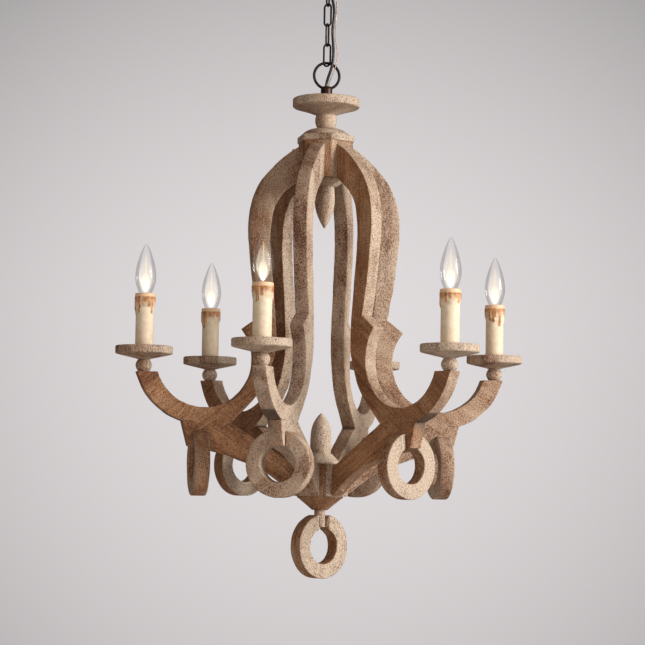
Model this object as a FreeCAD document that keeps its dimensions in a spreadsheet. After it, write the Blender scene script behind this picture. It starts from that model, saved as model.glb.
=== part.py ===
import FreeCAD, Part
import math
import os
import Sketcher

# A six-arm candle chandelier of carved wood, hung on a chain from a ceiling canopy.
# Millimetres, +Z up. The origin is the middle of the ceiling strap, in the plane of the ceiling.
# The arms stand at 0, 60, ... 300 degrees from +X. Levels count down from the ceiling.

doc = FreeCAD.newDocument("candle_chandelier")

# ---------------------------------------------------------------- driving dimensions
SIZES = [
    # ceiling fitting
    ("strap_length", 106, "ceiling strap, end to end"),
    ("strap_width", 19, "ceiling strap, across"),
    ("strap_thick", 2.4, "ceiling strap, sheet"),
    ("screw_spacing", 88.9, "between the strap's two screw holes"),
    ("screw_hole_dia", 4.8, "screw holes in the strap"),
    ("pipe_dia", 12.7, "threaded nipple and hanger pipe, outside"),
    ("wire_bore", 8.6, "bore that the cord and the earth wire run through"),
    ("canopy_dia", 128, "canopy at the ceiling"),
    ("canopy_height", 26, "canopy, ceiling to underside"),
    ("canopy_wall", 1.2, "canopy, sheet"),
    ("canopy_flat_dia", 30, "flat middle of the canopy"),
    ("collar_dia", 24, "collar nut under the canopy"),
    ("collar_thick", 4, "collar nut, height"),
    ("neck_dia", 17, "neck of the canopy loop"),
    ("neck_length", 3.2, "canopy loop, collar to ring"),
    ("neck_thread", 6, "how far the ceiling nipple screws into the neck"),
    ("canopy_loop_dia", 30, "canopy loop, outside"),
    ("canopy_loop_wire", 4, "canopy loop, bar"),
    ("canopy_loop_turn", 240, "degrees, the way the canopy loop faces"),
    # chain
    ("link_count", 4, "links in the chain"),
    ("link_length", 42, "chain link, outside"),
    ("link_width", 16.8, "chain link, outside"),
    ("link_wire", 3.3, "chain link, wire"),
    ("link_slack", 0.1, "clearance between two links"),
    ("hang_gap", 0.3, "clearance between the chain and the canopy loop"),
    ("crown_loop_gap", 1.2, "clearance between the chain and the loop on the crown"),
    ("odd_link_turn", 225, "degrees, the way the lowest link and every second one faces"),
    ("even_link_turn", 330, "degrees, the way the other links face"),
    ("cord_dia", 5, "power cord"),
    ("earth_dia", 1.5, "earth wire beside the cord"),
    # hanging loop and the turned crown
    ("hang_loop_dia", 50, "loop on the crown, outside"),
    ("hang_loop_wire", 4.8, "loop on the crown, bar"),
    ("hang_loop_turn", 273, "degrees, the way the loop on the crown faces"),
    ("loop_base_dia", 20, "base of the loop"),
    ("loop_base_drop", 13.8, "crown top to the underside of the loop's bar"),
    ("loop_thread", 8, "how far the hanger pipe screws into the loop's base"),
    ("crown_dia", 116.6, "crown disc"),
    ("crown_band", 14.6, "crown disc, height of its rim"),
    ("crown_height", 31, "crown disc, in all"),
    ("crown_rise", 2.4, "crown disc, swell of its top"),
    ("crown_foot_dia", 36, "crown disc where it meets the bead"),
    ("crown_bead_dia", 37.2, "bead under the crown disc"),
    ("crown_bead_height", 23, "bead under the crown disc"),
    ("crown_bead_foot_dia", 29.4, "that bead where it meets the dome"),
    ("dome_dia", 83, "dome under the bead"),
    ("dome_height", 14, "dome under the bead"),
    ("cap_across", 90, "six-sided cap plate, across its flats"),
    ("cap_thick", 11, "six-sided cap plate"),
    # hubs and what is turned to fit them
    ("hub_across", 86, "both hubs, across their flats"),
    ("upper_hub_height", 64, "upper hub"),
    ("hub_roof", 20, "wood left above the upper hub's wire chamber"),
    ("chamber_dia", 44, "wire chamber in the upper hub"),
    ("chamber_plug", 8, "plug of the upper finial in that chamber"),
    ("pipe_nut_dia", 24, "nut on the hanger pipe"),
    ("pipe_nut_thick", 6, "nut on the hanger pipe"),
    ("pipe_end", 12, "hanger pipe below the chamber's roof"),
    ("lower_hub_height", 55.6, "lower hub"),
    ("tip_dia", 1.2, "flat at the tip of a finial or a bulb"),
    ("finial_collar_dia", 66, "collar of both finials"),
    ("finial_collar_edge", 3, "finial collar, thickness at its edge"),
    ("upper_collar_height", 12, "upper finial, height of its collar"),
    ("upper_drop_length", 72.6, "upper finial, its drop"),
    ("upper_drop_dia", 34, "upper finial, its drop"),
    ("lower_collar_height", 17, "lower finial, height of its collar"),
    ("lower_drop_length", 69.4, "lower finial, its bullet"),
    ("lower_drop_dia", 36, "lower finial, its bullet"),
    ("cone_dia", 79, "cone under the lower hub, its rim"),
    ("cone_lip", 3, "cone, thickness of its lip"),
    ("cone_height", 23.4, "cone, in all"),
    ("cone_foot_dia", 27, "cone, its lower end"),
    ("peg_dia", 19, "round peg that carries the bottom ring"),
    ("peg_length", 29, "peg below the cone"),
    ("rod_dia", 8, "threaded rod through the lower hub"),
    ("rod_in_finial", 30, "rod above the lower finial's collar"),
    ("rod_in_peg", 9, "rod below the cone, in the peg"),
    # arms
    ("arm_thick", 25, "arm board"),
    ("cage_drop", 340, "upper hub's underside down to the candle platforms"),
    ("lower_hub_drop", 150, "platforms down to the lower hub's top"),
    ("root_margin", 6, "hub showing above and below an arm's joint"),
    ("root_flush", 1, "hub showing on the inner side of an arm's joint"),
    ("bow_width", 131.5, "bow, from the axis to its widest point"),
    ("bow_rise", 258, "platform up to the bow's widest point"),
    ("bow_board", 34.5, "bow board at its widest point"),
    ("shoulder_radius", 112, "bow's shoulder, from the axis"),
    ("shoulder_rise", 333, "bow's shoulder above the platform"),
    ("waist_radius", 111.5, "notch above the ear, from the axis"),
    ("waist_rise", 98.5, "notch above the ear, above the platform"),
    ("ear_reach", 28.5, "ear, from the notch to its tip"),
    ("bow_inside", 84, "bow's inner edge at its foot, from the axis"),
    ("saddle_centre", 205, "centre of the saddle, from the axis"),
    ("saddle_rise", 25, "centre of the saddle above the platform"),
    ("saddle_radius", 83.5, "saddle's inside"),
    ("scroll_width", 36, "board between the saddle and the scroll outside it"),
    ("scroll_belly", 32, "the same board half way down the scroll"),
    ("tail_radius", 242, "corner where the scroll meets the tail, from the axis"),
    ("tail_tip_radius", 231, "tail's lower corner, from the axis"),
    ("tail_drop", 124, "platform down to the tail's lower corner"),
    ("crotch_radius", 158.5, "crotch between bow and strut, from the axis"),
    ("crotch_drop", 84, "platform down to the crotch"),
    ("dowel_dia", 8, "dowels between arms and hubs"),
    ("dowel_length", 30, "dowels, half in each piece"),
    ("lamp_wire_dia", 4, "lamp wires in the arms"),
    ("wire_room", 0.8, "room round a lamp wire in its channel"),
    # candles
    ("candle_inset", 22.8, "inner corner of an arm's end to the candle's axis"),
    ("cup_bead_dia", 27.7, "bead under each drip cup"),
    ("cup_bead_height", 21, "bead under each drip cup"),
    ("cup_bead_foot_dia", 18, "that bead at both its ends"),
    ("cup_dia", 97, "drip cup"),
    ("cup_height", 22, "drip cup"),
    ("cup_band", 12.6, "drip cup, height of its rim"),
    ("cup_foot_dia", 26, "drip cup, its foot"),
    ("cup_dish", 4, "depth of the cup's dish"),
    ("cup_wall", 4, "rim of the cup's dish"),
    ("nipple_dia", 9.5, "candle nipple"),
    ("nipple_in_arm", 12, "candle nipple below the platform"),
    ("nipple_in_socket", 12, "candle nipple inside the lamp socket"),
    ("sleeve_dia", 31, "candle sleeve, outside"),
    ("sleeve_wall", 2.6, "candle sleeve, wall"),
    ("sleeve_length", 93, "candle sleeve"),
    ("socket_dia", 21, "lamp socket"),
    ("socket_below", 4, "lamp socket's top below the sleeve's top"),
    ("cap_bore", 12.9, "lamp socket's bore for the bulb's cap"),
    ("cap_dia", 12.2, "bulb cap"),
    ("cap_length", 22, "bulb cap below its flange"),
    ("cap_flange_dia", 15.2, "bulb cap's flange"),
    ("cap_flange_thick", 2, "bulb cap's flange"),
    ("seat_gap", 0.3, "clearance under a bulb's flange"),
    ("glass_dia", 35, "bulb glass at its widest"),
    ("glass_length", 86.5, "bulb glass"),
    ("glass_belly", 28, "bulb glass, height of its widest point"),
    ("glass_neck_dia", 14.4, "bulb glass at the cap"),
    ("glass_wall", 0.7, "bulb glass, wall"),
    # hanging rings
    ("ring_dia", 110, "hanging ring, outside"),
    ("ring_band", 25, "hanging ring, from hole to rim"),
    ("ring_thick", 25, "hanging ring"),
    ("ring_round", 2.5, "worn edge of a hanging ring"),
    ("ring_circle", 211, "radius of the circle of rings"),
    ("ring_pin_drop", 110.5, "platform down to the pin of a ring"),
    ("ring_slot_play", 3, "slot of a ring over the thickness of its arm"),
    ("peg_slot_play", 3.4, "slot of the bottom ring over the peg"),
    ("bottom_pin_drop", 19, "cone down to the pin of the bottom ring"),
    ("bottom_ring_turn", 300, "degrees, the way the bottom ring faces"),
    ("pin_dia", 6, "pins that carry the rings"),
    ("pin_inset", 0.4, "end of a ring's pin below the ring's rim"),
    ("pin_play", 0.1, "running clearance of a ring on its pin"),
]

# Levels of the pieces below the ceiling, each from the one above it.
LEVELS = [
    ("canopy_level", "-canopy_height"),
    ("collar_level", "canopy_level - collar_thick"),
    ("canopy_loop_level", "collar_level - neck_length - canopy_loop_dia / 2"),
    ("chain_top_level", "canopy_loop_level - canopy_loop_dia / 2 + canopy_loop_wire + hang_gap + link_wire"),
    ("link_pitch", "link_length - 2 * link_wire - link_slack"),
    ("chain_bottom_level", "chain_top_level - link_length - (link_count - 1) * link_pitch"),
    ("hang_loop_level", "chain_bottom_level + link_wire + crown_loop_gap + hang_loop_wire - hang_loop_dia / 2"),
    ("crown_top_level", "hang_loop_level - hang_loop_dia / 2 - loop_base_drop"),
    ("crown_level", "crown_top_level - crown_height"),
    ("crown_bead_level", "crown_level - crown_bead_height"),
    ("dome_level", "crown_bead_level - dome_height"),
    ("cap_level", "dome_level - cap_thick"),
    ("upper_hub_level", "cap_level - upper_hub_height"),
    ("upper_finial_level", "upper_hub_level - upper_collar_height - upper_drop_length"),
    ("platform_level", "upper_hub_level - cage_drop"),
    ("lower_hub_top_level", "platform_level - lower_hub_drop"),
    ("lower_hub_level", "lower_hub_top_level - lower_hub_height"),
    ("cone_level", "lower_hub_level - cone_height"),
    ("peg_level", "cone_level - peg_length"),
    ("bottom_pin_level", "cone_level - bottom_pin_drop"),
    ("ring_pin_level", "platform_level - ring_pin_drop"),
    ("cup_level", "platform_level + cup_bead_height"),
    ("sleeve_level", "cup_level + cup_height - cup_dish"),
    ("sleeve_top_level", "sleeve_level + sleeve_length"),
    ("socket_top_level", "sleeve_top_level - socket_below"),
    ("glass_level", "socket_top_level + seat_gap + cap_flange_thick"),
    # what follows from other sizes
    ("candle_circle", "saddle_centre + sqrt(saddle_radius^2 - saddle_rise^2) + candle_inset"),
    ("ring_middle", "ring_dia / 2 - ring_band / 2"),
    ("pin_length", "2 * sqrt((ring_dia / 2)^2 - (ring_middle + pin_dia / 2)^2) - 2 * pin_inset"),
]

sheet = doc.addObject("Spreadsheet::Sheet", "Sizes")
for row, (alias, value, meaning) in enumerate(SIZES, start=1):
    sheet.set("A%d" % row, meaning)
    sheet.set("B%d" % row, str(value))
    sheet.setAlias("B%d" % row, alias)
for row, (alias, formula) in enumerate(LEVELS, start=len(SIZES) + 1):
    sheet.set("B%d" % row, "=" + formula)
    sheet.setAlias("B%d" % row, alias)
doc.recompute()

ALIASES = [entry[0] for entry in SIZES + LEVELS]
ARM_ANGLES = [60 * step for step in range(6)]
subparts = []


def bound(text):
    """Write a size rule with the sheet's name before each of its aliases."""
    words = []
    word = ""
    for letter in text + " ":
        if letter.isalnum() or letter == "_":
            word += letter
            continue
        words.append("Sizes." + word if word in ALIASES else word)
        words.append(letter)
        word = ""
    return "".join(words).strip()


def size(text):
    """Number that a size rule gives now."""
    return float(sheet.evalExpression(bound(text)))


def subpart(shape_object, label):
    """Give an object its own name and list it as one piece of the chandelier."""
    shape_object.Label = label
    subparts.append(shape_object)
    return shape_object


def polar(angle, radius, level, turn=0):
    """Placement at a radius and level, turned about Z by the angle, then about its own Z."""
    spin = FreeCAD.Rotation(FreeCAD.Vector(0, 0, 1), angle)
    where = spin.multVec(FreeCAD.Vector(radius, 0, 0)) + FreeCAD.Vector(0, 0, level)
    return FreeCAD.Placement(where, spin * FreeCAD.Rotation(FreeCAD.Vector(0, 0, 1), turn))


# ---------------------------------------------------------------- sketches and bodies
def origin_plane(body, role):
    for feature in body.Origin.OriginFeatures:
        if feature.Role == role:
            return feature


def fix_point(sketch, geometry, end, x_rule, y_rule):
    """Hold one point of a sketch at two size rules, or on an axis where a rule is 0."""
    for kind, axis, rule in (("DistanceX", -2, x_rule), ("DistanceY", -1, y_rule)):
        if rule == "0":
            sketch.addConstraint(Sketcher.Constraint("PointOnObject", geometry, end, axis))
            continue
        index = sketch.addConstraint(Sketcher.Constraint(kind, -1, 1, geometry, end, size(rule)))
        sketch.setExpression("Constraints[%d]" % index, bound(rule))


def outline_sketch(body, role, corners):
    """Closed outline. A corner is (x, y), or (x, y, via_x, via_y) where an arc starts from it."""
    sketch = body.newObject("Sketcher::SketchObject", body.Name + "_outline")
    sketch.AttachmentSupport = (origin_plane(body, role), [""])
    sketch.MapMode = "FlatFace"
    points = [FreeCAD.Vector(size(c[0]), size(c[1]), 0) for c in corners]
    ends = []
    for index, corner in enumerate(corners):
        start = points[index]
        finish = points[(index + 1) % len(corners)]
        if len(corner) == 4:
            via = FreeCAD.Vector(size(corner[2]), size(corner[3]), 0)
            sketch.addGeometry(Part.Arc(start, via, finish), False)
        else:
            sketch.addGeometry(Part.LineSegment(start, finish), False)
        forward = (sketch.getPoint(index, 1) - start).Length < (sketch.getPoint(index, 2) - start).Length
        ends.append((1, 2) if forward else (2, 1))
    for index in range(len(corners)):
        following = (index + 1) % len(corners)
        sketch.addConstraint(
            Sketcher.Constraint("Coincident", index, ends[index][1], following, ends[following][0]))
        fix_point(sketch, index, ends[index][0], corners[index][0], corners[index][1])
    for index, corner in enumerate(corners):
        if len(corner) == 4:
            middle = sketch.addGeometry(
                Part.Point(FreeCAD.Vector(size(corner[2]), size(corner[3]), 0)), True)
            sketch.addConstraint(Sketcher.Constraint("PointOnObject", middle, 1, index))
            fix_point(sketch, middle, 1, corner[2], corner[3])
    return sketch


def circle_sketch(body, role, x_rule, y_rule, radius_rule):
    """One circle, its centre at two size rules."""
    sketch = body.newObject("Sketcher::SketchObject", body.Name + "_circle")
    sketch.AttachmentSupport = (origin_plane(body, role), [""])
    sketch.MapMode = "FlatFace"
    centre = FreeCAD.Vector(size(x_rule), size(y_rule), 0)
    sketch.addGeometry(Part.Circle(centre, FreeCAD.Vector(0, 0, 1), size(radius_rule)), False)
    fix_point(sketch, 0, 3, x_rule, y_rule)
    index = sketch.addConstraint(Sketcher.Constraint("Radius", 0, size(radius_rule)))
    sketch.setExpression("Constraints[%d]" % index, bound(radius_rule))
    return sketch


def turned_body(name, corners, axis="V_Axis"):
    """A piece turned on a lathe: the outline goes once round the axis of its sketch."""
    body = doc.addObject("PartDesign::Body", name)
    sketch = outline_sketch(body, "XZ_Plane", corners)
    turning = body.newObject("PartDesign::Revolution", name + "_turning")
    turning.Profile = sketch
    turning.ReferenceAxis = (sketch, [axis])
    turning.Angle = 360
    return body


def turned(label, level_rule, corners):
    """A turned piece on the chandelier's own axis, its outline counted up from a level."""
    body = turned_body(label, corners)
    body.setExpression("Placement.Base.z", bound(level_rule))
    return subpart(body, label)


def rod(name, radius_rule, length_rule):
    """Plain round bar along its own Z."""
    bar = doc.addObject("Part::Cylinder", name)
    bar.setExpression("Radius", bound(radius_rule))
    bar.setExpression("Height", bound(length_rule))
    return bar


def cut(name, base, tool):
    result = doc.addObject("Part::Cut", name)
    result.Base = base
    result.Tool = tool
    return result


def group(name, members):
    result = doc.addObject("Part::Compound", name)
    result.Links = members
    return result


def fused(name, members):
    result = doc.addObject("Part::MultiFuse", name)
    result.Shapes = members
    return result


# ---------------------------------------------------------------- tubes along a route
def routed_tube(points, diameter):
    """Tube along straight runs joined by tangent arcs, each arc as large as its runs allow."""
    edges = []
    radii = []
    start = points[0]
    for before, corner, after in zip(points, points[1:], points[2:]):
        run_in = before - corner
        run_out = after - corner
        shorter = min(run_in.Length, run_out.Length)
        run_in.normalize()
        run_out.normalize()
        half_turn = (math.pi - run_in.getAngle(run_out)) / 2
        reach = 0.45 * shorter
        radius = reach / math.tan(half_turn)
        radii.append(radius)
        arc_start = corner + run_in * reach
        arc_end = corner + run_out * reach
        inward = run_in + run_out
        inward.normalize()
        middle = corner + inward * (radius / math.cos(half_turn) - radius)
        edges.append(Part.LineSegment(start, arc_start).toShape())
        edges.append(Part.Arc(arc_start, middle, arc_end).toShape())
        start = arc_end
    edges.append(Part.LineSegment(start, points[-1]).toShape())
    path = Part.Wire(edges)
    section = Part.Wire(Part.Circle(points[0], points[1] - points[0], diameter / 2).toShape())
    tube = path.makePipeShell([section], True, False)
    return tube, radii, path.Length


def report_tube(name, tube, radii, length, diameter):
    expected = math.pi * diameter ** 2 / 4 * length
    print("%s: %.0f mm long, tightest radius %.1f mm, volume %.1f against %.1f mm3" % (
        name, length, min(radii), tube.Volume, expected))


# ---------------------------------------------------------------- ceiling fitting
def make_ceiling_strap():
    plate = doc.addObject("Part::Box", "strap_plate")
    plate.setExpression("Length", bound("strap_length"))
    plate.setExpression("Width", bound("strap_width"))
    plate.setExpression("Height", bound("strap_thick"))
    plate.setExpression("Placement.Base.x", bound("-strap_length / 2"))
    plate.setExpression("Placement.Base.y", bound("-strap_width / 2"))
    plate.setExpression("Placement.Base.z", bound("-strap_thick"))
    holes = [rod("strap_centre_hole", "pipe_dia / 2", "strap_thick")]
    for side, name in ((-1, "strap_left_hole"), (1, "strap_right_hole")):
        hole = rod(name, "screw_hole_dia / 2", "strap_thick")
        hole.setExpression("Placement.Base.x", bound("%d * screw_spacing / 2" % side))
        holes.append(hole)
    for hole in holes:
        hole.setExpression("Placement.Base.z", bound("-strap_thick"))
    subpart(cut("ceiling_strap", plate, group("strap_holes", holes)), "ceiling_strap")


def make_canopy():
    turned("canopy", "canopy_level", [
        ("pipe_dia / 2", "0"),
        ("canopy_flat_dia / 2", "0", "canopy_dia * 0.4", "canopy_height * 0.44"),
        ("canopy_dia / 2", "canopy_height * 0.9"),
        ("canopy_dia / 2", "canopy_height"),
        ("canopy_dia / 2 - canopy_wall", "canopy_height"),
        ("canopy_dia / 2 - canopy_wall", "canopy_height * 0.9",
         "canopy_dia * 0.4 - canopy_wall * 0.6", "canopy_height * 0.44 + canopy_wall * 0.8"),
        ("canopy_flat_dia / 2", "canopy_wall"),
        ("pipe_dia / 2", "canopy_wall"),
    ])
    turned("canopy_collar", "collar_level", [
        ("pipe_dia / 2", "0"),
        ("collar_dia / 2 - 1", "0"),
        ("collar_dia / 2", "1"),
        ("collar_dia / 2", "collar_thick"),
        ("pipe_dia / 2", "collar_thick"),
    ])
    turned("hanger_nipple", "collar_level - neck_thread", [
        ("wire_bore / 2", "0"),
        ("pipe_dia / 2", "0"),
        ("pipe_dia / 2", "neck_thread - collar_level"),
        ("wire_bore / 2", "neck_thread - collar_level"),
    ])


def standing_loop(name, level_rule, diameter_rule, wire_rule, turn_rule):
    """Round bar bent to a ring that stands upright and faces the way of its turn."""
    ring = doc.addObject("Part::Torus", name)
    ring.setExpression("Radius1", bound("(%s - %s) / 2" % (diameter_rule, wire_rule)))
    ring.setExpression("Radius2", bound(wire_rule + " / 2"))
    facing = FreeCAD.Rotation(FreeCAD.Vector(0, 0, 1), size(turn_rule))
    tipped = FreeCAD.Rotation(FreeCAD.Vector(0, 1, 0), 90)
    ring.Placement = FreeCAD.Placement(FreeCAD.Vector(0, 0, size(level_rule)), facing * tipped)
    return ring


def make_canopy_loop():
    ring = standing_loop("canopy_loop_ring", "canopy_loop_level", "canopy_loop_dia",
                         "canopy_loop_wire", "canopy_loop_turn")
    neck_height = "neck_length + canopy_loop_wire + 1"
    neck = turned_body("canopy_loop_neck", [
        ("0", "0"),
        ("neck_dia / 2 - 2", "0"),
        ("neck_dia / 2", "2"),
        ("neck_dia / 2", neck_height),
        ("0", neck_height),
    ])
    neck.setExpression("Placement.Base.z", bound("collar_level - (%s)" % neck_height))
    bore = rod("canopy_loop_bore", "wire_bore / 2", neck_height)
    bore.setExpression("Placement.Base.z", bound("collar_level - (%s)" % neck_height))
    thread = rod("canopy_loop_thread", "pipe_dia / 2", "neck_thread")
    thread.setExpression("Placement.Base.z", bound("collar_level - neck_thread"))
    whole = fused("canopy_loop_casting", [ring, neck])
    subpart(cut("canopy_loop", whole, group("canopy_loop_holes", [bore, thread])), "canopy_loop")


# ---------------------------------------------------------------- chain, cord and earth wire
def link_solid(turn, centre_level):
    """Oval link in a plane that faces the given turn."""
    wire = size("link_wire")
    bend = size("link_width") / 2 - wire / 2
    side = size("link_length") / 2 - wire / 2 - bend
    corners = [(bend, -side), (bend, side), (-bend, side), (-bend, -side)]
    right_low, right_high, left_high, left_low = [FreeCAD.Vector(x, 0, z) for x, z in corners]
    path = Part.Wire([
        Part.LineSegment(right_low, right_high).toShape(),
        Part.Arc(right_high, FreeCAD.Vector(0, 0, side + bend), left_high).toShape(),
        Part.LineSegment(left_high, left_low).toShape(),
        Part.Arc(left_low, FreeCAD.Vector(0, 0, -side - bend), right_low).toShape(),
    ])
    section = Part.Wire(Part.Circle(right_low, FreeCAD.Vector(0, 0, 1), wire / 2).toShape())
    link = path.makePipeShell([section], True, False)
    link.rotate(FreeCAD.Vector(0, 0, 0), FreeCAD.Vector(0, 0, 1), turn + 90)
    link.translate(FreeCAD.Vector(0, 0, centre_level))
    return link


def make_chain():
    links = []
    for number in range(int(size("link_count"))):
        turn = size("even_link_turn" if number % 2 else "odd_link_turn")
        level = size("chain_bottom_level + link_length / 2") + number * size("link_pitch")
        links.append(link_solid(turn, level))
    chain = doc.addObject("Part::Feature", "chain_links")
    chain.Shape = Part.Compound(links)
    subpart(chain, "chain_links")


# Route of the power cord, from the hanger pipe up beside the chain into the canopy loop.
CORD_POINTS = [
    (-1.2, 0.2, -249), (-1.2, 0.2, -235), (2.1, -4.0, -221), (6.8, -8.6, -206), (9.2, -8.6, -190),
    (9.6, -7.6, -173), (8.4, -6.2, -155), (7.2, -6.8, -137), (9.4, -8.6, -119), (9.8, -8.0, -102),
    (7.2, -5.4, -86), (2.8, -7.8, -70), (1.6, -7.4, -57), (0.4, -2.8, -46), (-1.2, 0.2, -36),
    (-1.2, 0.2, -26),
]
# Route of the earth wire, which hangs a little outside the cord.
EARTH_POINTS = [
    (2.6, -0.5, -248), (2.8, -0.6, -235), (6.8, -3.4, -224), (11.0, -5.6, -212), (14.8, -6.8, -200),
    (16.9, -7.2, -187), (16.4, -7.9, -174), (13.3, -8.4, -160), (11.8, -9.8, -144), (11.6, -10.6, -127),
    (13.6, -11.0, -110), (13.2, -10.0, -95), (13.6, -10.4, -80), (8.6, -11.4, -66), (5.2, -9.0, -55),
    (4.2, -4.4, -46), (2.6, -0.5, -37), (2.6, -0.5, -28),
]


def make_route(label, points, diameter_rule):
    """A cord node. The points stay where they were chosen; only the diameter is a size."""
    diameter = size(diameter_rule)
    tube, radii, length = routed_tube([FreeCAD.Vector(*point) for point in points], diameter)
    report_tube(label, tube, radii, length, diameter)
    node = doc.addObject("Part::Feature", label)
    node.Shape = tube
    subpart(node, label)


# ---------------------------------------------------------------- crown
def make_hanging_loop():
    ring = standing_loop("hanging_loop_ring", "hang_loop_level", "hang_loop_dia",
                         "hang_loop_wire", "hang_loop_turn")
    base_height = "loop_base_drop + hang_loop_wire + 1"
    base = turned_body("hanging_loop_base", [
        ("0", "0"),
        ("loop_base_dia / 2", "0"),
        ("loop_base_dia / 2", base_height + " - 4"),
        ("loop_base_dia / 2 - 1.5", base_height),
        ("0", base_height),
    ])
    base.setExpression("Placement.Base.z", bound("crown_top_level"))
    bore = rod("hanging_loop_bore", "wire_bore / 2", base_height)
    bore.setExpression("Placement.Base.z", bound("crown_top_level"))
    thread = rod("hanging_loop_thread", "pipe_dia / 2", "loop_thread")
    thread.setExpression("Placement.Base.z", bound("crown_top_level"))
    whole = fused("hanging_loop_casting", [ring, base])
    subpart(cut("hanging_loop", whole, group("hanging_loop_holes", [bore, thread])), "hanging_loop")


def make_crown():
    turned("crown_disc", "crown_level", [
        ("pipe_dia / 2", "0"),
        ("crown_foot_dia / 2", "0"),
        ("crown_dia / 2 - 1", "crown_height - crown_rise - crown_band"),
        ("crown_dia / 2", "crown_height - crown_rise - crown_band + 1"),
        ("crown_dia / 2", "crown_height - crown_rise - 1"),
        ("crown_dia / 2 - 1", "crown_height - crown_rise",
         "crown_dia / 4", "crown_height - crown_rise * 0.25"),
        ("loop_base_dia / 2", "crown_height"),
        ("pipe_dia / 2", "crown_height"),
    ])
    turned("crown_bead", "crown_bead_level", [
        ("pipe_dia / 2", "0"),
        ("crown_bead_foot_dia / 2", "0", "crown_bead_dia / 2", "crown_bead_height * 0.55"),
        ("crown_foot_dia / 2 - 0.5", "crown_bead_height"),
        ("pipe_dia / 2", "crown_bead_height"),
    ])
    turned("crown_dome", "dome_level", [
        ("pipe_dia / 2", "0"),
        ("dome_dia / 2", "0"),
        ("dome_dia / 2", "2", "dome_dia * 0.385", "dome_height * 0.65"),
        ("crown_bead_foot_dia / 2 + 1", "dome_height"),
        ("pipe_dia / 2", "dome_height"),
    ])


def hexagon(name, across_rule, height_rule, level_rule):
    """Six-sided block with a flat side towards each arm."""
    block = doc.addObject("Part::Prism", name)
    block.Polygon = 6
    block.setExpression("Circumradius", bound("%s / 2 / cos(30)" % across_rule))
    block.setExpression("Height", bound(height_rule))
    block.Placement = polar(0, 0, size(level_rule), 30)
    return block


def make_hub_cap():
    block = hexagon("hub_cap_block", "cap_across", "cap_thick", "cap_level")
    bore = rod("hub_cap_bore", "pipe_dia / 2", "cap_thick")
    bore.setExpression("Placement.Base.z", bound("cap_level"))
    subpart(cut("hub_cap", block, bore), "hub_cap")


def make_hanger_pipe():
    """Threaded pipe from the loop's base through the crown, with the nut that lifts the hub."""
    roof = "upper_hub_level + upper_hub_height - hub_roof"
    bottom = roof + " - pipe_end"
    top = "crown_top_level + loop_thread - (%s)" % bottom
    turned("hanger_pipe", bottom, [
        ("wire_bore / 2", "0"),
        ("pipe_dia / 2", "0"),
        ("pipe_dia / 2", "pipe_end - pipe_nut_thick"),
        ("pipe_nut_dia / 2", "pipe_end - pipe_nut_thick"),
        ("pipe_nut_dia / 2", "pipe_end"),
        ("pipe_dia / 2", "pipe_end"),
        ("pipe_dia / 2", top),
        ("wire_bore / 2", top),
    ])


# ---------------------------------------------------------------- hubs, dowels and lamp wires
def dowel_heights():
    """Heights of an arm's dowels over the platform, two in each hub."""
    upper_low = "cage_drop + root_flush + dowel_dia * 1.4"
    upper_high = "cage_drop + upper_hub_height - root_margin - dowel_dia * 1.4"
    lower_high = "-lower_hub_drop - root_margin - dowel_dia * 1.5"
    lower_low = "-lower_hub_drop - lower_hub_height + root_flush + dowel_dia * 1.5"
    return [upper_low, upper_high, lower_high, lower_low]


def make_hub_dowels():
    dowels = []
    for angle in ARM_ANGLES:
        for height in dowel_heights():
            dowel = rod("dowel", "dowel_dia / 2", "dowel_length")
            level = size("platform_level + " + height)
            place = polar(angle, size("hub_across / 2 - dowel_length / 2"), level)
            lying = FreeCAD.Rotation(FreeCAD.Vector(0, 1, 0), 90)
            dowel.Placement = FreeCAD.Placement(place.Base, place.Rotation * lying)
            dowels.append(dowel)
    return subpart(group("hub_dowels", dowels), "hub_dowels")


def lamp_wire_route():
    """Middle of the wire channel, as (from the axis, above the platform), hub to lamp socket."""
    inner_bow = size("bow_width - bow_board / 2")
    band = size("saddle_radius + scroll_width / 2 - 1")
    centre = size("saddle_centre")
    rise = size("saddle_rise")
    chamber = size("cage_drop + upper_hub_height - hub_roof - pipe_end - lamp_wire_dia")
    route = [
        (size("chamber_dia / 2 - 3"), chamber),
        (size("hub_across / 2 + 8"), chamber - 3),
        (size("shoulder_radius") - 31, size("shoulder_rise") + 6),
        (inner_bow - 8, size("(shoulder_rise + bow_rise) / 2") + 8),
        (inner_bow, size("bow_rise")),
        (inner_bow - 5, size("bow_rise * 0.75")),
        (size("(bow_inside + waist_radius) / 2 + 3"), size("waist_rise + 30")),
        (size("(bow_inside + waist_radius) / 2"), size("waist_rise - 25")),
    ]
    for degrees in (178, 204, 229, 254, 279, 304):
        turn = math.radians(degrees)
        route.append((centre + band * math.cos(turn), rise + band * math.sin(turn)))
    candle = size("candle_circle")
    route.append((candle - 7, size("-nipple_in_arm - 18")))
    route.append((candle, size("-nipple_in_arm") - 4))
    route.append((candle, size("cup_bead_height + cup_height - cup_dish + nipple_in_socket - 2")))
    return route


def lamp_wire_tube(angle, diameter):
    place = polar(angle, 0, size("platform_level"))
    points = [place.multVec(FreeCAD.Vector(radius, 0, height)) for radius, height in lamp_wire_route()]
    return routed_tube(points, diameter)


def make_arm_wires():
    wires = []
    for angle in ARM_ANGLES:
        tube, radii, length = lamp_wire_tube(angle, size("lamp_wire_dia"))
        wires.append(tube)
    report_tube("arm_wires, each", tube, radii, length, size("lamp_wire_dia"))
    node = doc.addObject("Part::Feature", "arm_wires")
    node.Shape = Part.Compound(wires)
    subpart(node, "arm_wires")


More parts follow.
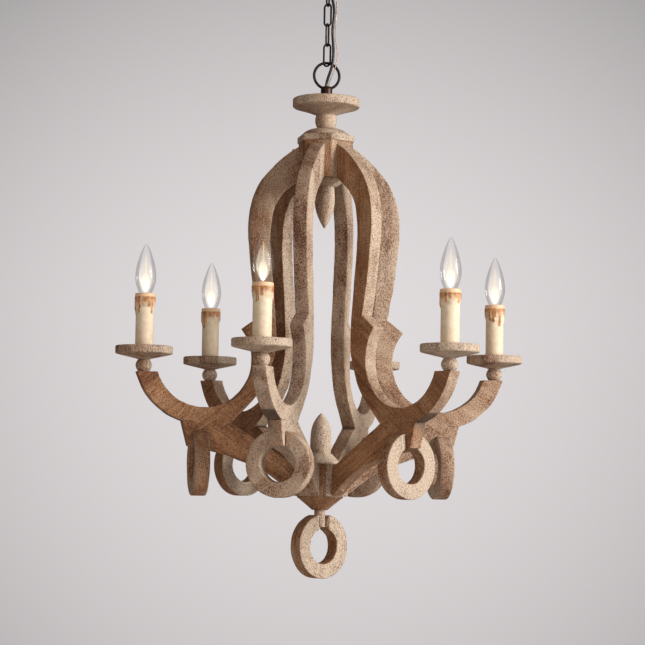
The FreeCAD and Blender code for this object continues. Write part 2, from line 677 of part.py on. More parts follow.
def make_wire_channels():
    """The six channels that the lamp wires lie in, to be cut from the hub and the arms."""
    width = size("lamp_wire_dia + 2 * wire_room")
    channels = []
    for angle in ARM_ANGLES:
        channel = doc.addObject("Part::Feature", "wire_channel")
        channel.Shape = lamp_wire_tube(angle, width)[0]
        channels.append(channel)
    return channels


def make_upper_hub(dowels, channels):
    block = hexagon("upper_hub_block", "hub_across", "upper_hub_height", "upper_hub_level")
    bore = rod("upper_hub_bore", "pipe_dia / 2", "upper_hub_height")
    bore.setExpression("Placement.Base.z", bound("upper_hub_level"))
    chamber = rod("upper_hub_chamber", "chamber_dia / 2", "upper_hub_height - hub_roof")
    chamber.setExpression("Placement.Base.z", bound("upper_hub_level"))
    tools = fused("upper_hub_tools", [bore, chamber, dowels] + channels)
    subpart(cut("upper_hub", block, tools), "upper_hub")


def make_lower_hub(dowels):
    block = hexagon("lower_hub_block", "hub_across", "lower_hub_height", "lower_hub_level")
    bore = rod("lower_hub_bore", "rod_dia / 2", "lower_hub_height")
    bore.setExpression("Placement.Base.z", bound("lower_hub_level"))
    tools = fused("lower_hub_tools", [bore, dowels])
    subpart(cut("lower_hub", block, tools), "lower_hub")


def make_finials():
    drop = "upper_drop_length"
    whole = "(upper_drop_length + upper_collar_height)"
    turned("upper_finial", "upper_finial_level", [
        ("0", "0"),
        ("tip_dia / 2", "0", "upper_drop_dia * 0.36", drop + " * 0.27"),
        ("upper_drop_dia / 2", drop + " * 0.6", "upper_drop_dia * 0.5", drop + " * 0.8"),
        ("upper_drop_dia * 0.46", drop),
        ("finial_collar_dia * 0.29", drop),
        ("finial_collar_dia / 2", whole + " - finial_collar_edge"),
        ("finial_collar_dia / 2", whole),
        ("chamber_dia / 2", whole),
        ("chamber_dia / 2", whole + " + chamber_plug"),
        ("0", whole + " + chamber_plug"),
    ])
    bullet = "lower_drop_length"
    collar = "lower_collar_height"
    turned("lower_finial", "lower_hub_top_level", [
        ("rod_dia / 2", "0"),
        ("finial_collar_dia / 2", "0"),
        ("finial_collar_dia / 2", "finial_collar_edge"),
        ("finial_collar_dia * 0.29", collar),
        ("lower_drop_dia * 0.46", collar, "lower_drop_dia * 0.497", collar + " + lower_drop_length * 0.2"),
        ("lower_drop_dia / 2", collar + " + lower_drop_length * 0.36",
         "lower_drop_dia * 0.35", collar + " + lower_drop_length * 0.75"),
        ("tip_dia / 2", "%s + %s" % (collar, bullet)),
        ("0", "%s + %s" % (collar, bullet)),
        ("0", collar + " + rod_in_finial"),
        ("rod_dia / 2", collar + " + rod_in_finial"),
    ])


def make_lower_stack():
    turned("lower_cone", "cone_level", [
        ("rod_dia / 2", "0"),
        ("cone_foot_dia / 2", "0"),
        ("cone_dia / 2 - 1.5", "cone_height - cone_lip"),
        ("cone_dia / 2", "cone_height - cone_lip + 1"),
        ("cone_dia / 2", "cone_height"),
        ("rod_dia / 2", "cone_height"),
    ])
    rod_length = "rod_in_peg + cone_height + lower_hub_height + lower_collar_height + rod_in_finial"
    turned("lower_rod", "cone_level - rod_in_peg", [
        ("0", "0"),
        ("rod_dia / 2", "0"),
        ("rod_dia / 2", rod_length),
        ("0", rod_length),
    ])


# ---------------------------------------------------------------- arms
def arm_outline():
    """Edge of an arm's board, from the upper hub round the bow, saddle, scroll, tail and strut."""
    hub_face = "hub_across / 2"
    root_top = "cage_drop + upper_hub_height - root_margin"
    root_low = "cage_drop + root_flush"
    strut_top = "-lower_hub_drop - root_margin"
    strut_low = "-lower_hub_drop - lower_hub_height + root_flush"
    ear_tip_x = "waist_radius + ear_reach"
    ear_tip_y = "saddle_rise + sqrt(saddle_radius ^ 2 - (saddle_centre - waist_radius - ear_reach) ^ 2)"
    saddle_low_y = "saddle_rise - saddle_radius"
    saddle_out_x = "saddle_centre + sqrt(saddle_radius ^ 2 - saddle_rise ^ 2)"
    scroll_out_x = saddle_out_x + " + scroll_width"
    scroll_reach = "(saddle_radius + scroll_belly)"
    foot_rise = "bow_rise * 0.28"
    return [
        (hub_face, root_top, "shoulder_radius * 0.74", "shoulder_rise + 30"),
        ("shoulder_radius", "shoulder_rise", "bow_width * 0.955", "(shoulder_rise + bow_rise) / 2 + 2"),
        ("bow_width", "bow_rise", "bow_width * 0.963", "bow_rise * 0.75"),
        ("waist_radius", "waist_rise"),
        (ear_tip_x, ear_tip_y, "saddle_centre", saddle_low_y),
        (saddle_out_x, "0"),
        (scroll_out_x, "0", "saddle_centre + %s * 0.78" % scroll_reach,
         "saddle_rise - %s * 0.626" % scroll_reach),
        ("tail_radius", "-crotch_drop + 2"),
        ("tail_tip_radius", "-tail_drop",
         "(tail_tip_radius + %s) / 2 - 17" % hub_face, "-lower_hub_drop - 6"),
        (hub_face, strut_low),
        (hub_face, strut_top),
        ("crotch_radius", "-crotch_drop", "crotch_radius * 0.644", "-crotch_drop * 0.2"),
        ("bow_inside", foot_rise),
        ("bow_width - bow_board", "bow_rise - 31", "(bow_width - bow_board) * 0.876", "shoulder_rise - 35"),
        (hub_face, root_low),
    ]


def make_arm_tools(number, angle, dowels, channel, pin):
    """What is taken out of one arm: its dowel holes, wire channel, nipple hole and pin hole."""
    length = "nipple_in_arm + cup_bead_height"
    nipple_hole = rod("nipple_hole", "nipple_dia / 2", length)
    nipple_hole.Placement = polar(angle, size("candle_circle"), size("platform_level - nipple_in_arm"))
    return fused("arm_%d_tools" % number, dowels + [channel, pin, nipple_hole])


def make_arm(number, angle, tools):
    board = doc.addObject("PartDesign::Body", "arm_board")
    outline = outline_sketch(board, "XZ_Plane", arm_outline())
    pad = board.newObject("PartDesign::Pad", "arm_pad")
    pad.Profile = outline
    pad.Midplane = True
    pad.setExpression("Length", bound("arm_thick"))
    board.Placement = polar(angle, 0, size("platform_level"))
    subpart(cut("arm_%d" % number, board, tools), "arm_%d" % number)


# ---------------------------------------------------------------- candles
CUP_TO_SOCKET = "cup_bead_height + cup_height - cup_dish"


def six_turned(name, level_rule, corners):
    """The same turned piece on the end of every arm."""
    pieces = []
    for angle in ARM_ANGLES:
        body = turned_body(name, corners)
        body.Placement = polar(angle, size("candle_circle"), size(level_rule))
        pieces.append(body)
    return pieces


def make_candle_nipples():
    length = "nipple_in_arm + %s + nipple_in_socket" % CUP_TO_SOCKET
    bore = "lamp_wire_dia / 2 + wire_room"
    nipples = six_turned("candle_nipple", "platform_level - nipple_in_arm", [
        (bore, "0"),
        ("nipple_dia / 2", "0"),
        ("nipple_dia / 2", length),
        (bore, length),
    ])
    subpart(group("candle_nipples", nipples), "candle_nipples")


def make_candle_furniture():
    beads = six_turned("cup_bead", "platform_level", [
        ("nipple_dia / 2", "0"),
        ("cup_bead_foot_dia / 2", "0", "cup_bead_dia / 2", "cup_bead_height / 2"),
        ("cup_bead_foot_dia / 2", "cup_bead_height"),
        ("nipple_dia / 2", "cup_bead_height"),
    ])
    subpart(group("cup_beads", beads), "cup_beads")
    cups = six_turned("cup", "cup_level", [
        ("nipple_dia / 2", "0"),
        ("cup_foot_dia / 2", "0"),
        ("cup_dia / 2 - 1", "cup_height - cup_band - 1"),
        ("cup_dia / 2", "cup_height - cup_band"),
        ("cup_dia / 2", "cup_height - 1"),
        ("cup_dia / 2 - 1", "cup_height"),
        ("cup_dia / 2 - cup_wall", "cup_height"),
        ("cup_dia / 2 - cup_wall - 1", "cup_height - cup_dish"),
        ("nipple_dia / 2", "cup_height - cup_dish"),
    ])
    for number, cup in enumerate(cups, start=1):
        subpart(cup, "drip_cup_%d" % number)
    sleeves = six_turned("sleeve", "sleeve_level", [
        ("sleeve_dia / 2 - sleeve_wall", "0"),
        ("sleeve_dia / 2", "0"),
        ("sleeve_dia / 2", "sleeve_length"),
        ("sleeve_dia / 2 - sleeve_wall", "sleeve_length"),
    ])
    subpart(group("candle_sleeves", sleeves), "candle_sleeves")
    height = "sleeve_length - socket_below"
    sockets = six_turned("socket", "sleeve_level", [
        ("nipple_dia / 2", "0"),
        ("socket_dia / 2", "0"),
        ("socket_dia / 2", height),
        ("cap_bore / 2", height),
        ("cap_bore / 2", height + " - cap_length - 2"),
        ("0", height + " - cap_length - 2"),
        ("0", "nipple_in_socket"),
        ("nipple_dia / 2", "nipple_in_socket"),
    ])
    subpart(group("lamp_sockets", sockets), "lamp_sockets")


def make_bulbs():
    whole = "cap_length + cap_flange_thick"
    caps = six_turned("bulb_cap", "glass_level - (%s)" % whole, [
        ("0", "0"),
        ("cap_dia / 4", "0"),
        ("cap_dia / 2", "3"),
        ("cap_dia / 2", "cap_length"),
        ("cap_flange_dia / 2", "cap_length"),
        ("cap_flange_dia / 2", whole),
        ("0", whole),
    ])
    for number, cap in enumerate(caps, start=1):
        subpart(cap, "bulb_cap_%d" % number)
    shoulder = "(glass_length + glass_belly) / 2"
    glasses = six_turned("bulb_glass", "glass_level", [
        ("glass_neck_dia / 2 - glass_wall", "0"),
        ("glass_neck_dia / 2", "0", "glass_dia * 0.423", "glass_belly * 0.4"),
        ("glass_dia / 2", "glass_belly", "glass_dia * 0.395", shoulder),
        ("glass_dia * 0.07", "glass_length - 2.2", "glass_dia * 0.05", "glass_length - 0.6"),
        ("tip_dia / 2", "glass_length"),
        ("0", "glass_length"),
        ("0", "glass_length - glass_wall"),
        ("tip_dia / 4", "glass_length - glass_wall", "glass_dia * 0.034", "glass_length - glass_wall - 0.5"),
        ("glass_dia * 0.07 - glass_wall * 0.8", "glass_length - 2.6",
         "glass_dia * 0.395 - glass_wall", shoulder + " - glass_wall / 2"),
        ("glass_dia / 2 - glass_wall", "glass_belly",
         "glass_dia * 0.423 - glass_wall", "glass_belly * 0.4 + glass_wall / 2"),
    ])
    for number, glass in enumerate(glasses, start=1):
        subpart(glass, "bulb_glass_%d" % number)


# ---------------------------------------------------------------- hanging rings
def ring_body(label, slot_rule):
    """Wooden ring that faces X, centred on the origin, its top slotted for what it hangs on."""
    body = doc.addObject("PartDesign::Body", label)
    half = "ring_thick / 2"
    rim = "ring_dia / 2"
    hole = "ring_dia / 2 - ring_band"
    sketch = outline_sketch(body, "XZ_Plane", [
        ("-%s" % half, hole),
        (half, hole),
        (half, rim + " - ring_round"),
        (half + " - ring_round", rim),
        ("-%s + ring_round" % half, rim),
        ("-%s" % half, rim + " - ring_round"),
    ])
    turning = body.newObject("PartDesign::Revolution", label + "_turning")
    turning.Profile = sketch
    turning.ReferenceAxis = (sketch, ["H_Axis"])
    turning.Angle = 360
    slot = outline_sketch(body, "YZ_Plane", [
        ("-(%s) / 2" % slot_rule, "0"),
        ("(%s) / 2" % slot_rule, "0"),
        ("(%s) / 2" % slot_rule, "ring_dia"),
        ("-(%s) / 2" % slot_rule, "ring_dia"),
    ])
    mouth = body.newObject("PartDesign::Pocket", label + "_slot")
    mouth.Profile = slot
    mouth.Midplane = True
    mouth.setExpression("Length", bound("ring_thick * 2"))
    eye = circle_sketch(body, "XZ_Plane", "0", "ring_middle", "pin_dia / 2 + pin_play")
    drilled = body.newObject("PartDesign::Pocket", label + "_eye")
    drilled.Profile = eye
    drilled.Midplane = True
    drilled.setExpression("Length", bound("ring_dia"))
    return body


def place_ring(body, angle, radius, pin_level):
    body.Placement = polar(angle, radius, pin_level - size("ring_middle"))


def make_ring_pins():
    """Pins across the tails of the arms, and one across the peg."""
    pins = []
    half = size("pin_length / 2")
    spots = [(angle, size("ring_circle"), size("ring_pin_level")) for angle in ARM_ANGLES]
    spots.append((size("bottom_ring_turn"), 0, size("bottom_pin_level")))
    for angle, radius, level in spots:
        pin = rod("ring_pin", "pin_dia / 2", "pin_length")
        place = polar(angle, radius, level)
        across = FreeCAD.Rotation(FreeCAD.Vector(1, 0, 0), -90)
        shift = place.Rotation.multVec(FreeCAD.Vector(0, -half, 0))
        pin.Placement = FreeCAD.Placement(place.Base + shift, place.Rotation * across)
        pins.append(pin)
    return subpart(group("ring_pins", pins), "ring_pins")


def make_ring_peg(pins):
    peg = turned_body("peg_blank", [
        ("0", "0"),
        ("peg_dia / 2 - 0.8", "0"),
        ("peg_dia / 2", "0.8"),
        ("peg_dia / 2", "peg_length"),
        ("rod_dia / 2", "peg_length"),
        ("rod_dia / 2", "peg_length - rod_in_peg"),
        ("0", "peg_length - rod_in_peg"),
    ])
    peg.setExpression("Placement.Base.z", bound("peg_level"))
    subpart(cut("ring_peg", peg, pins), "ring_peg")


def make_rings():
    for number, angle in enumerate(ARM_ANGLES, start=1):
        body = ring_body("hanging_ring_%d" % number, "arm_thick + ring_slot_play")
        place_ring(body, angle, size("ring_circle"), size("ring_pin_level"))
        subpart(body, "hanging_ring_%d" % number)
    body = ring_body("bottom_ring", "peg_dia + peg_slot_play")
    place_ring(body, size("bottom_ring_turn"), 0, size("bottom_pin_level"))
    subpart(body, "bottom_ring")


# ---------------------------------------------------------------- assembly
make_ceiling_strap()
make_canopy()
make_canopy_loop()
make_chain()
make_route("power_cord", CORD_POINTS, "cord_dia")
make_route("earth_wire", EARTH_POINTS, "earth_dia")
make_hanging_loop()
make_crown()
make_hub_cap()
make_hanger_pipe()
hub_dowels = make_hub_dowels()
wire_channels = make_wire_channels()
make_arm_wires()
make_upper_hub(hub_dowels, wire_channels)
make_lower_hub(hub_dowels)
make_finials()
make_lower_stack()
make_candle_nipples()
ring_pins = make_ring_pins()
for arm_number, arm_angle in enumerate(ARM_ANGLES, start=1):
    own_dowels = hub_dowels.Links[4 * arm_number - 4:4 * arm_number]
    own_tools = make_arm_tools(arm_number, arm_angle, own_dowels, wire_channels[arm_number - 1],
                               ring_pins.Links[arm_number - 1])
    make_arm(arm_number, arm_angle, own_tools)
make_candle_furniture()
make_bulbs()
make_ring_peg(ring_pins)
make_rings()
doc.recompute()

# ---------------------------------------------------------------- checks and files
for item in doc.Objects:
    if "Invalid" in item.State or "Error" in item.State:
        raise RuntimeError("object failed: %s %s" % (item.Name, item.State))
for piece in subparts:
    if piece.Shape.isNull() or not piece.Shape.isValid() or not piece.Shape.Solids:
        raise RuntimeError("sub-part has no valid solid: " + piece.Label)

os.makedirs("parts", exist_ok=True)
for piece in subparts:
    piece.Shape.exportStep("parts/%s.step" % piece.Label)
print("%d nodes written" % len(subparts))
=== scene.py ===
# %% [markdown]
# # A carved wooden candle chandelier
#
# Six scrolled arms make an onion-shaped cage round two turned finials. Each arm carries a drip
# cup, a candle sleeve with wax drips and a flame-tip bulb, and a wooden ring hangs in the tail
# of each arm, with one more ring on a peg below. The whole hangs from a chain.
#
# The script loads the CAD model as its frame, then replaces the wood, the candles and the bulbs
# with finer surfaces in the same place. Metal pieces keep their CAD shape and get a finish.
# Every surface is an array of points in millimetres, in the CAD model's own frame.

# %% Load the frame
import math

import bpy
import numpy as np
from mathutils import Matrix, Vector


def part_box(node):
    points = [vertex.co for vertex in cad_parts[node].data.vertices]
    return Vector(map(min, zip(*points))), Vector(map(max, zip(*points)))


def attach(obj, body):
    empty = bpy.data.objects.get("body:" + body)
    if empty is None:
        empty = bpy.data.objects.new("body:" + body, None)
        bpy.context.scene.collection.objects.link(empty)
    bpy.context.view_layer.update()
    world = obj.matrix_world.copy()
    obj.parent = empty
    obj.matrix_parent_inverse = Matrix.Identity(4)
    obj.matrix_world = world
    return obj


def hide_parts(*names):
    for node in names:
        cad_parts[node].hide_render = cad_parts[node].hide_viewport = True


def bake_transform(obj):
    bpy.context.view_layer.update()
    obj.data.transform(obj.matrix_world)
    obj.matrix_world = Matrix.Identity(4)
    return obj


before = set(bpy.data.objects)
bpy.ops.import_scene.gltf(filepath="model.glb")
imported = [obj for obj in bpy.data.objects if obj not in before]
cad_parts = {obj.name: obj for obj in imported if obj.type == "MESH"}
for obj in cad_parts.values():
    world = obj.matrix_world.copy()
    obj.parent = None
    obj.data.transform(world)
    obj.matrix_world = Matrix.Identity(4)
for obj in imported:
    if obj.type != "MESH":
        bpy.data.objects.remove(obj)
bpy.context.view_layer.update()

# %% [markdown]
# ## Camera
#
# The photograph was taken from 3.6 m with a long lens, a little below the candles. The camera
# stands there, tipped up by its pitch and rolled by just under a degree.

# %% Camera
MM = 0.001
PHOTO_WIDTH = 645
FOCAL_PX = 2085.2
SENSOR_MM = 36.0
CAMERA_PLACE = (-0.7342, -3.5016, -0.9243)
HEADING = math.radians(-11.834)
PITCH = math.radians(4.407)
ROLL = math.radians(0.926)


def linked(name, data):
    """New object in the scene, made from its data."""
    thing = bpy.data.objects.new(name, data)
    bpy.context.scene.collection.objects.link(thing)
    return thing


camera_data = bpy.data.cameras.new("camera")
camera_data.sensor_width = SENSOR_MM
camera_data.lens = FOCAL_PX / PHOTO_WIDTH * SENSOR_MM
camera_data.clip_end = 50.0
camera = linked("camera", camera_data)
bpy.context.scene.camera = camera
camera.matrix_world = (
    Matrix.Translation(Vector(CAMERA_PLACE))
    @ Matrix.Rotation(HEADING, 4, "Z")
    @ Matrix.Rotation(math.pi / 2 + PITCH, 4, "X")
    @ Matrix.Rotation(ROLL, 4, "Z"))
print("camera: %.1f mm lens" % camera_data.lens)

# %% [markdown]
# ## Surfaces from arrays
#
# Nearly every new piece is a grid of points: a row of closed loops, one behind the other. The
# helper below turns such a grid into a mesh, closes its ends and makes its faces look outward.
# The colour and the grain of the wood come from attributes stored on the points.


# %% Mesh helpers
def loops_to_faces(rows, columns, wrap):
    """Quads between neighbouring loops of a grid; wrap also joins the last loop to the first."""
    row, column = np.meshgrid(np.arange(rows if wrap else rows - 1), np.arange(columns), indexing="ij")
    after, beside = (row + 1) % rows, (column + 1) % columns
    return np.stack([row * columns + column, row * columns + beside,
                     after * columns + beside, after * columns + column], axis=-1).reshape(-1, 4)


def outward(points, quads):
    """True if the quads' normals look away from the inside: their signed volume is positive."""
    a, b, c, d = (points[quads[:, k]] for k in range(4))
    first = np.einsum("ij,ij->i", a, np.cross(b, c))
    second = np.einsum("ij,ij->i", a, np.cross(c, d))
    return (first.sum() + second.sum()) > 0


def mesh_piece(name, points, faces):
    """Smooth-shaded object from points in metres and their faces."""
    mesh = bpy.data.meshes.new(name)
    mesh.from_pydata(points, [], faces)
    mesh.polygons.foreach_set("use_smooth", [True] * len(mesh.polygons))
    mesh.validate()
    mesh.update()
    return linked(name, mesh)


def surface(name, grid, wrap=False):
    """Mesh over an (n, m, 3) array of closed loops, in mm.

    wrap joins the last loop to the first. Without it one face closes each end."""
    rows, columns = grid.shape[:2]
    points = grid.reshape(-1, 3)
    quads = loops_to_faces(rows, columns, wrap)
    flip = not outward(points - points.mean(axis=0), quads)
    faces = [tuple(q[::-1]) if flip else tuple(q) for q in quads.tolist()]
    if not wrap:
        first = tuple(range(columns))
        final = tuple(range((rows - 1) * columns, rows * columns))
        faces += [first, final[::-1]] if flip else [first[::-1], final]
    return mesh_piece(name, (points * MM).tolist(), faces)


def store(piece, name, values):
    """Store one number, or one (x, y, z), for each point of a piece."""
    values = np.asarray(values, dtype=float)
    kind, key = ("FLOAT_VECTOR", "vector") if values.ndim == 2 else ("FLOAT", "value")
    piece.data.attributes.new(name, kind, "POINT").data.foreach_set(key, values.ravel())


def ripple(x, seed, waves=5, longest=1.0):
    """Smooth made-up unevenness between about -1 and 1: a sum of sines of falling length."""
    rng = np.random.default_rng(seed)
    total = np.zeros_like(np.asarray(x, dtype=float))
    for number in range(waves):
        length = longest / (1.0 + 0.9 * number)
        phase = rng.uniform(0, 2 * math.pi)
        total = total + np.sin(2 * math.pi * x / length + phase) / (1 + number)
    return total / 1.6


def spun(name, profile, centre, segments, wobble=0.0, seed=0):
    """Turned piece: the profile's (radius, height) goes once round the axis through the centre.

    point = centre + (r cos a, r sin a, z), with r a touch uneven by the wobble, in mm."""
    profile = np.asarray(profile, dtype=float)
    angle = np.linspace(0, 2 * math.pi, segments, endpoint=False)
    radius = profile[:, :1] + wobble * np.sin(2 * angle[None, :] + seed) * (profile[:, :1] > 2)
    return surface(name, np.stack([
        centre[0] + radius * np.cos(angle), centre[1] + radius * np.sin(angle),
        centre[2] + np.repeat(profile[:, 1:], segments, axis=1)], axis=-1))


def bend(a, b, c, t):
    """Arc from a to c, pulled towards b: (1 - t)^2 a + 2 t (1 - t) b + t^2 c."""
    return (1 - t) ** 2 * a + 2 * t * (1 - t) * b + t ** 2 * c


def softened(corners, radius, steps=4):
    """Profile with each inner corner replaced by a small arc that touches both its sides.

    A corner may be (x, y) or (x, y, own_radius)."""
    points = [np.array(corner[:2], dtype=float) for corner in corners]
    t = np.linspace(0, 1, steps + 1)[:, None]
    result = [points[0]]
    for corner, before, p, after in zip(corners[1:], points, points[1:], points[2:]):
        own = corner[2] if len(corner) == 3 else radius
        u, v = before - p, after - p
        lu, lv = np.linalg.norm(u), np.linalg.norm(v)
        if min(lu, lv) < 1e-6:
            result.append(p)
            continue
        reach = min(own, lu * 0.45, lv * 0.45)
        result.extend(bend(p + u / lu * reach, p, p + v / lv * reach, t))
    return np.array(result + [points[-1]])


def curve_through(points, steps=8):
    """Smooth line through the points (a Catmull-Rom spline), with this many steps a span."""
    points = np.asarray(points, dtype=float)
    padded = np.vstack([2 * points[0] - points[1], points, 2 * points[-1] - points[-2]])
    spans = []
    t = np.linspace(0, 1, steps, endpoint=False)[:, None]
    for a, b, c, d in zip(padded, padded[1:], padded[2:], padded[3:]):
        spans.append(0.5 * (2 * b + (c - a) * t + (2 * a - 5 * b + 4 * c - d) * t ** 2
                            + (3 * b - a - 3 * c + d) * t ** 3))
    spans.append(points[-1:])
    return np.vstack(spans)


def placed(points, angle=0.0, centre=(0.0, 0.0, 0.0)):
    """Points turned about Z by an angle in degrees, then moved."""
    turn = math.radians(angle)
    c, s = math.cos(turn), math.sin(turn)
    matrix = np.array([[c, -s, 0.0], [s, c, 0.0], [0.0, 0.0, 1.0]])
    return np.asarray(points) @ matrix.T + np.asarray(centre)


print("helpers ready")

# %% [markdown]
# ## Materials
#
# The wood is stained brown, then whitewashed and rubbed back. Its material mixes a red-brown
# stain, a tan middle tone and a chalky wash. Long noise along the fibres gives the grain, fine
# noise gives the dark pores, and large soft noise decides where the wash has stayed. Each piece
# stores its grain direction, and how much wash it keeps, on its points. That amount also holds
# painted light: it is raised on faces turned to the key light. A seam mark lays dark glue lines
# and painted shade on glued seams and butted ends.


# %% Node helper and wood
class Nodes:
    """Short way to write a node tree: a new material's, or the tree of something else."""

    def __init__(self, name, tree=None):
        self.material = None
        if tree is None:
            self.material = bpy.data.materials.new(name)
            self.material.use_nodes = True
            tree = self.material.node_tree
        self.tree = tree
        self.tree.nodes.clear()
        self.space = None

    def feed(self, socket, value):
        """Link another node's output to a socket, or set a plain value on it."""
        if isinstance(value, bpy.types.NodeSocket):
            self.tree.links.new(value, socket)
        else:
            socket.default_value = value

    def add(self, kind, **settings):
        """A node of a kind. Settings named after its properties are set, others are inputs."""
        node = self.tree.nodes.new(kind)
        count = len(self.tree.nodes)
        node.location = (-2400 + 220 * (count % 11), -260 * (count // 11))
        for key, value in settings.items():
            if hasattr(node, key):
                setattr(node, key, value)
            else:
                self.feed(node.inputs[key.replace("_", " ")], value)
        return node

    def attribute(self, name, output="Fac"):
        return self.add("ShaderNodeAttribute", attribute_name=name).outputs[output]

    def noise(self, scale, detail=3.0, roughness=0.55, distortion=0.0):
        """Soft noise in the space, which is the piece's own frame unless it was set before.

        Three numbers as the scale stretch it along the axes."""
        if self.space is None:
            self.space = self.add("ShaderNodeTexCoord").outputs["Object"]
        vector = self.space
        if isinstance(scale, tuple):
            vector = self.add("ShaderNodeMapping", Vector=vector, Scale=scale).outputs["Vector"]
            scale = 1.0
        return self.add("ShaderNodeTexNoise", Vector=vector, Scale=scale, Detail=detail,
                        Roughness=roughness, Distortion=distortion).outputs["Fac"]

    def ramp(self, fac, stops):
        """Colour ramp from (position, grey or colour) stops."""
        node = self.add("ShaderNodeValToRGB", Fac=fac)
        elements = node.color_ramp.elements
        while len(elements) < len(stops):
            elements.new(0.5)
        for element, (position, colour) in zip(elements, stops):
            element.position = position
            element.color = (colour if isinstance(colour, tuple) else (colour,) * 3) + (1.0,)
        return node.outputs["Color"]

    def mix(self, fac, a, b, blend="MIX"):
        """Mix of two colours: a where fac is 0, b where it is 1."""
        node = self.add("ShaderNodeMix", data_type="RGBA", blend_type=blend)
        for index, value in ((0, fac), (6, a), (7, b)):
            self.feed(node.inputs[index], value + (1.0,) if isinstance(value, tuple) else value)
        return node.outputs[2]

    def between(self, fac, low, high, a, b):
        """Colour that goes from a to b while fac goes from low to high."""
        return self.mix(self.ramp(fac, [(low, 0.0), (high, 1.0)]), a, b)

    def maths(self, operation, a, b=0.0):
        node = self.add("ShaderNodeMath", operation=operation)
        self.feed(node.inputs[0], a)
        self.feed(node.inputs[1], b)
        return node.outputs[0]

    def weighed(self, *terms):
        """Sum of value * weight over (value, weight) terms."""
        parts = [self.maths("MULTIPLY", value, weight) for value, weight in terms]
        total = parts[0]
        for part in parts[1:]:
            total = self.maths("ADD", total, part)
        return total

    def bump(self, height, strength, distance, **under):
        """Normal of a fine relief. under may give the Normal of a relief that it lies on."""
        return self.add("ShaderNodeBump", Height=height, Strength=strength, Distance=distance,
                        **under).outputs["Normal"]

    def either(self, fac, first, second):
        """Mix of two shaders: the first where fac is 0, the second where it is 1."""
        both = self.add("ShaderNodeMixShader", Fac=fac)
        self.feed(both.inputs[1], first.outputs[0])
        self.feed(both.inputs[2], second.outputs[0])
        return both

    def output(self, shader, kind="ShaderNodeOutputMaterial"):
        """Wire a shader to the output."""
        self.feed(self.add(kind).inputs["Surface"], shader.outputs[0])
        return self.material

    def finish(self, **inputs):
        """Principled surface from its inputs, wired to the output."""
        return self.output(self.add("ShaderNodeBsdfPrincipled", **inputs))


# Linear colours of the layers of the wood's finish.
STAIN = (0.165, 0.052, 0.020)
OAK = (0.450, 0.235, 0.115)
CHALK = (0.610, 0.490, 0.380)
PORE = (0.055, 0.032, 0.024)
PIN_WASH = 0.25
WASH_LOSS = 1.30


def make_wood(name, measured=True):
    """Stained, whitewashed and rubbed oak. A measured piece carries its own grain, its wash, which
    holds painted light as well, and its seam mark.

    colour = mix(mix(stain, oak, figure), chalk, wash), darkened in the pits, and at the seams by a dark
    glue line and painted shade."""
    n = Nodes(name)
    if measured:
        n.space = n.attribute("grain", "Vector")
    wash_and_light = n.attribute("wash_and_light") if measured else PIN_WASH
    streaks = n.noise((12.0, 230.0, 230.0), 4.0, 0.6, 0.3)
    patches = n.noise((11.0, 26.0, 26.0), 4.0, 0.6, 0.6)
    mottle = n.noise(300.0, 3.0, 0.7)
    grit = n.noise((420.0, 900.0, 900.0), 2.0, 0.7)
    pits = n.noise((300.0, 520.0, 520.0), 2.0, 0.6)
    figure = n.weighed((streaks, 0.34), (patches, 0.40), (grit, 0.36))
    colour = n.between(figure, 0.43, 0.66, STAIN, OAK)
    kept = n.weighed((wash_and_light, 1.0), (patches, 1.3), (mottle, 0.7), (grit, 1.1), (WASH_LOSS, -1.0))
    colour = n.mix(n.ramp(kept, [(0.20, 0.0), (0.90, 0.95)]), colour, CHALK)
    pitted = n.weighed((pits, 1.0), (patches, 0.35))
    colour = n.mix(n.ramp(pitted, [(0.52, 0.9), (0.58, 0.0)]), colour, PORE)
    colour = n.mix(n.ramp(grit, [(0.36, 0.80), (0.49, 0.0)]), colour, PORE)
    if measured:
        # Painted shade: glued seams and butted ends darken towards the pore colour, a dark glue line
        # with the shade of the crevice painted over it.
        colour = n.mix(n.maths("MULTIPLY", n.attribute("seam_shade"), 0.75), colour, PORE)
    relief = n.bump(n.weighed((streaks, 0.5), (pits, 0.6)), 0.6, 0.0012)
    return n.finish(Base_Color=colour, Roughness=n.ramp(patches, [(0.3, 0.74), (0.7, 0.9)]),
                    Normal=n.bump(grit, 0.8, 0.0007, Normal=relief), Specular_IOR_Level=0.25)


wood = make_wood("weathered_wood")
pin_wood = make_wood("pin_wood", measured=False)


# %% Metal, wax, glass and wires
def make_bronze():
    """Dark bronze paint with rubbed brown patches and a slight hammered relief."""
    n = Nodes("bronze_paint")
    rubbed = n.noise(60.0, 4.0, 0.6)
    colour = n.between(rubbed, 0.45, 0.75, (0.018, 0.012, 0.011), (0.085, 0.042, 0.026))
    rough = n.ramp(n.noise(240.0, 3.0), [(0.3, 0.32), (0.7, 0.5)])
    normal = n.bump(n.noise(420.0, 2.0), 0.18, 0.0006)
    return n.finish(Base_Color=colour, Roughness=rough, Metallic=0.75, Normal=normal)


def make_steel():
    """Zinc-plated steel, a little mottled."""
    n = Nodes("plated_steel")
    spangle = n.noise(180.0, 3.0, 0.5)
    colour = n.between(spangle, 0.3, 0.7, (0.42, 0.42, 0.43), (0.60, 0.59, 0.58))
    rough = n.ramp(n.noise(320.0, 2.0), [(0.3, 0.3), (0.7, 0.48)])
    normal = n.bump(spangle, 0.1, 0.0004)
    return n.finish(Base_Color=colour, Roughness=rough, Metallic=1.0, Normal=normal)


def make_brass():
    """Lacquered brass of a bulb's cap, dulled in patches."""
    n = Nodes("cap_brass")
    dull = n.ramp(n.noise(260.0, 3.0), [(0.35, 0.0), (0.7, 1.0)])
    colour = n.mix(dull, (0.62, 0.45, 0.20), (0.34, 0.22, 0.10))
    return n.finish(Base_Color=colour, Roughness=n.ramp(dull, [(0.0, 0.25), (1.0, 0.45)]),
                    Metallic=1.0, Normal=n.bump(dull, 0.08, 0.0003))


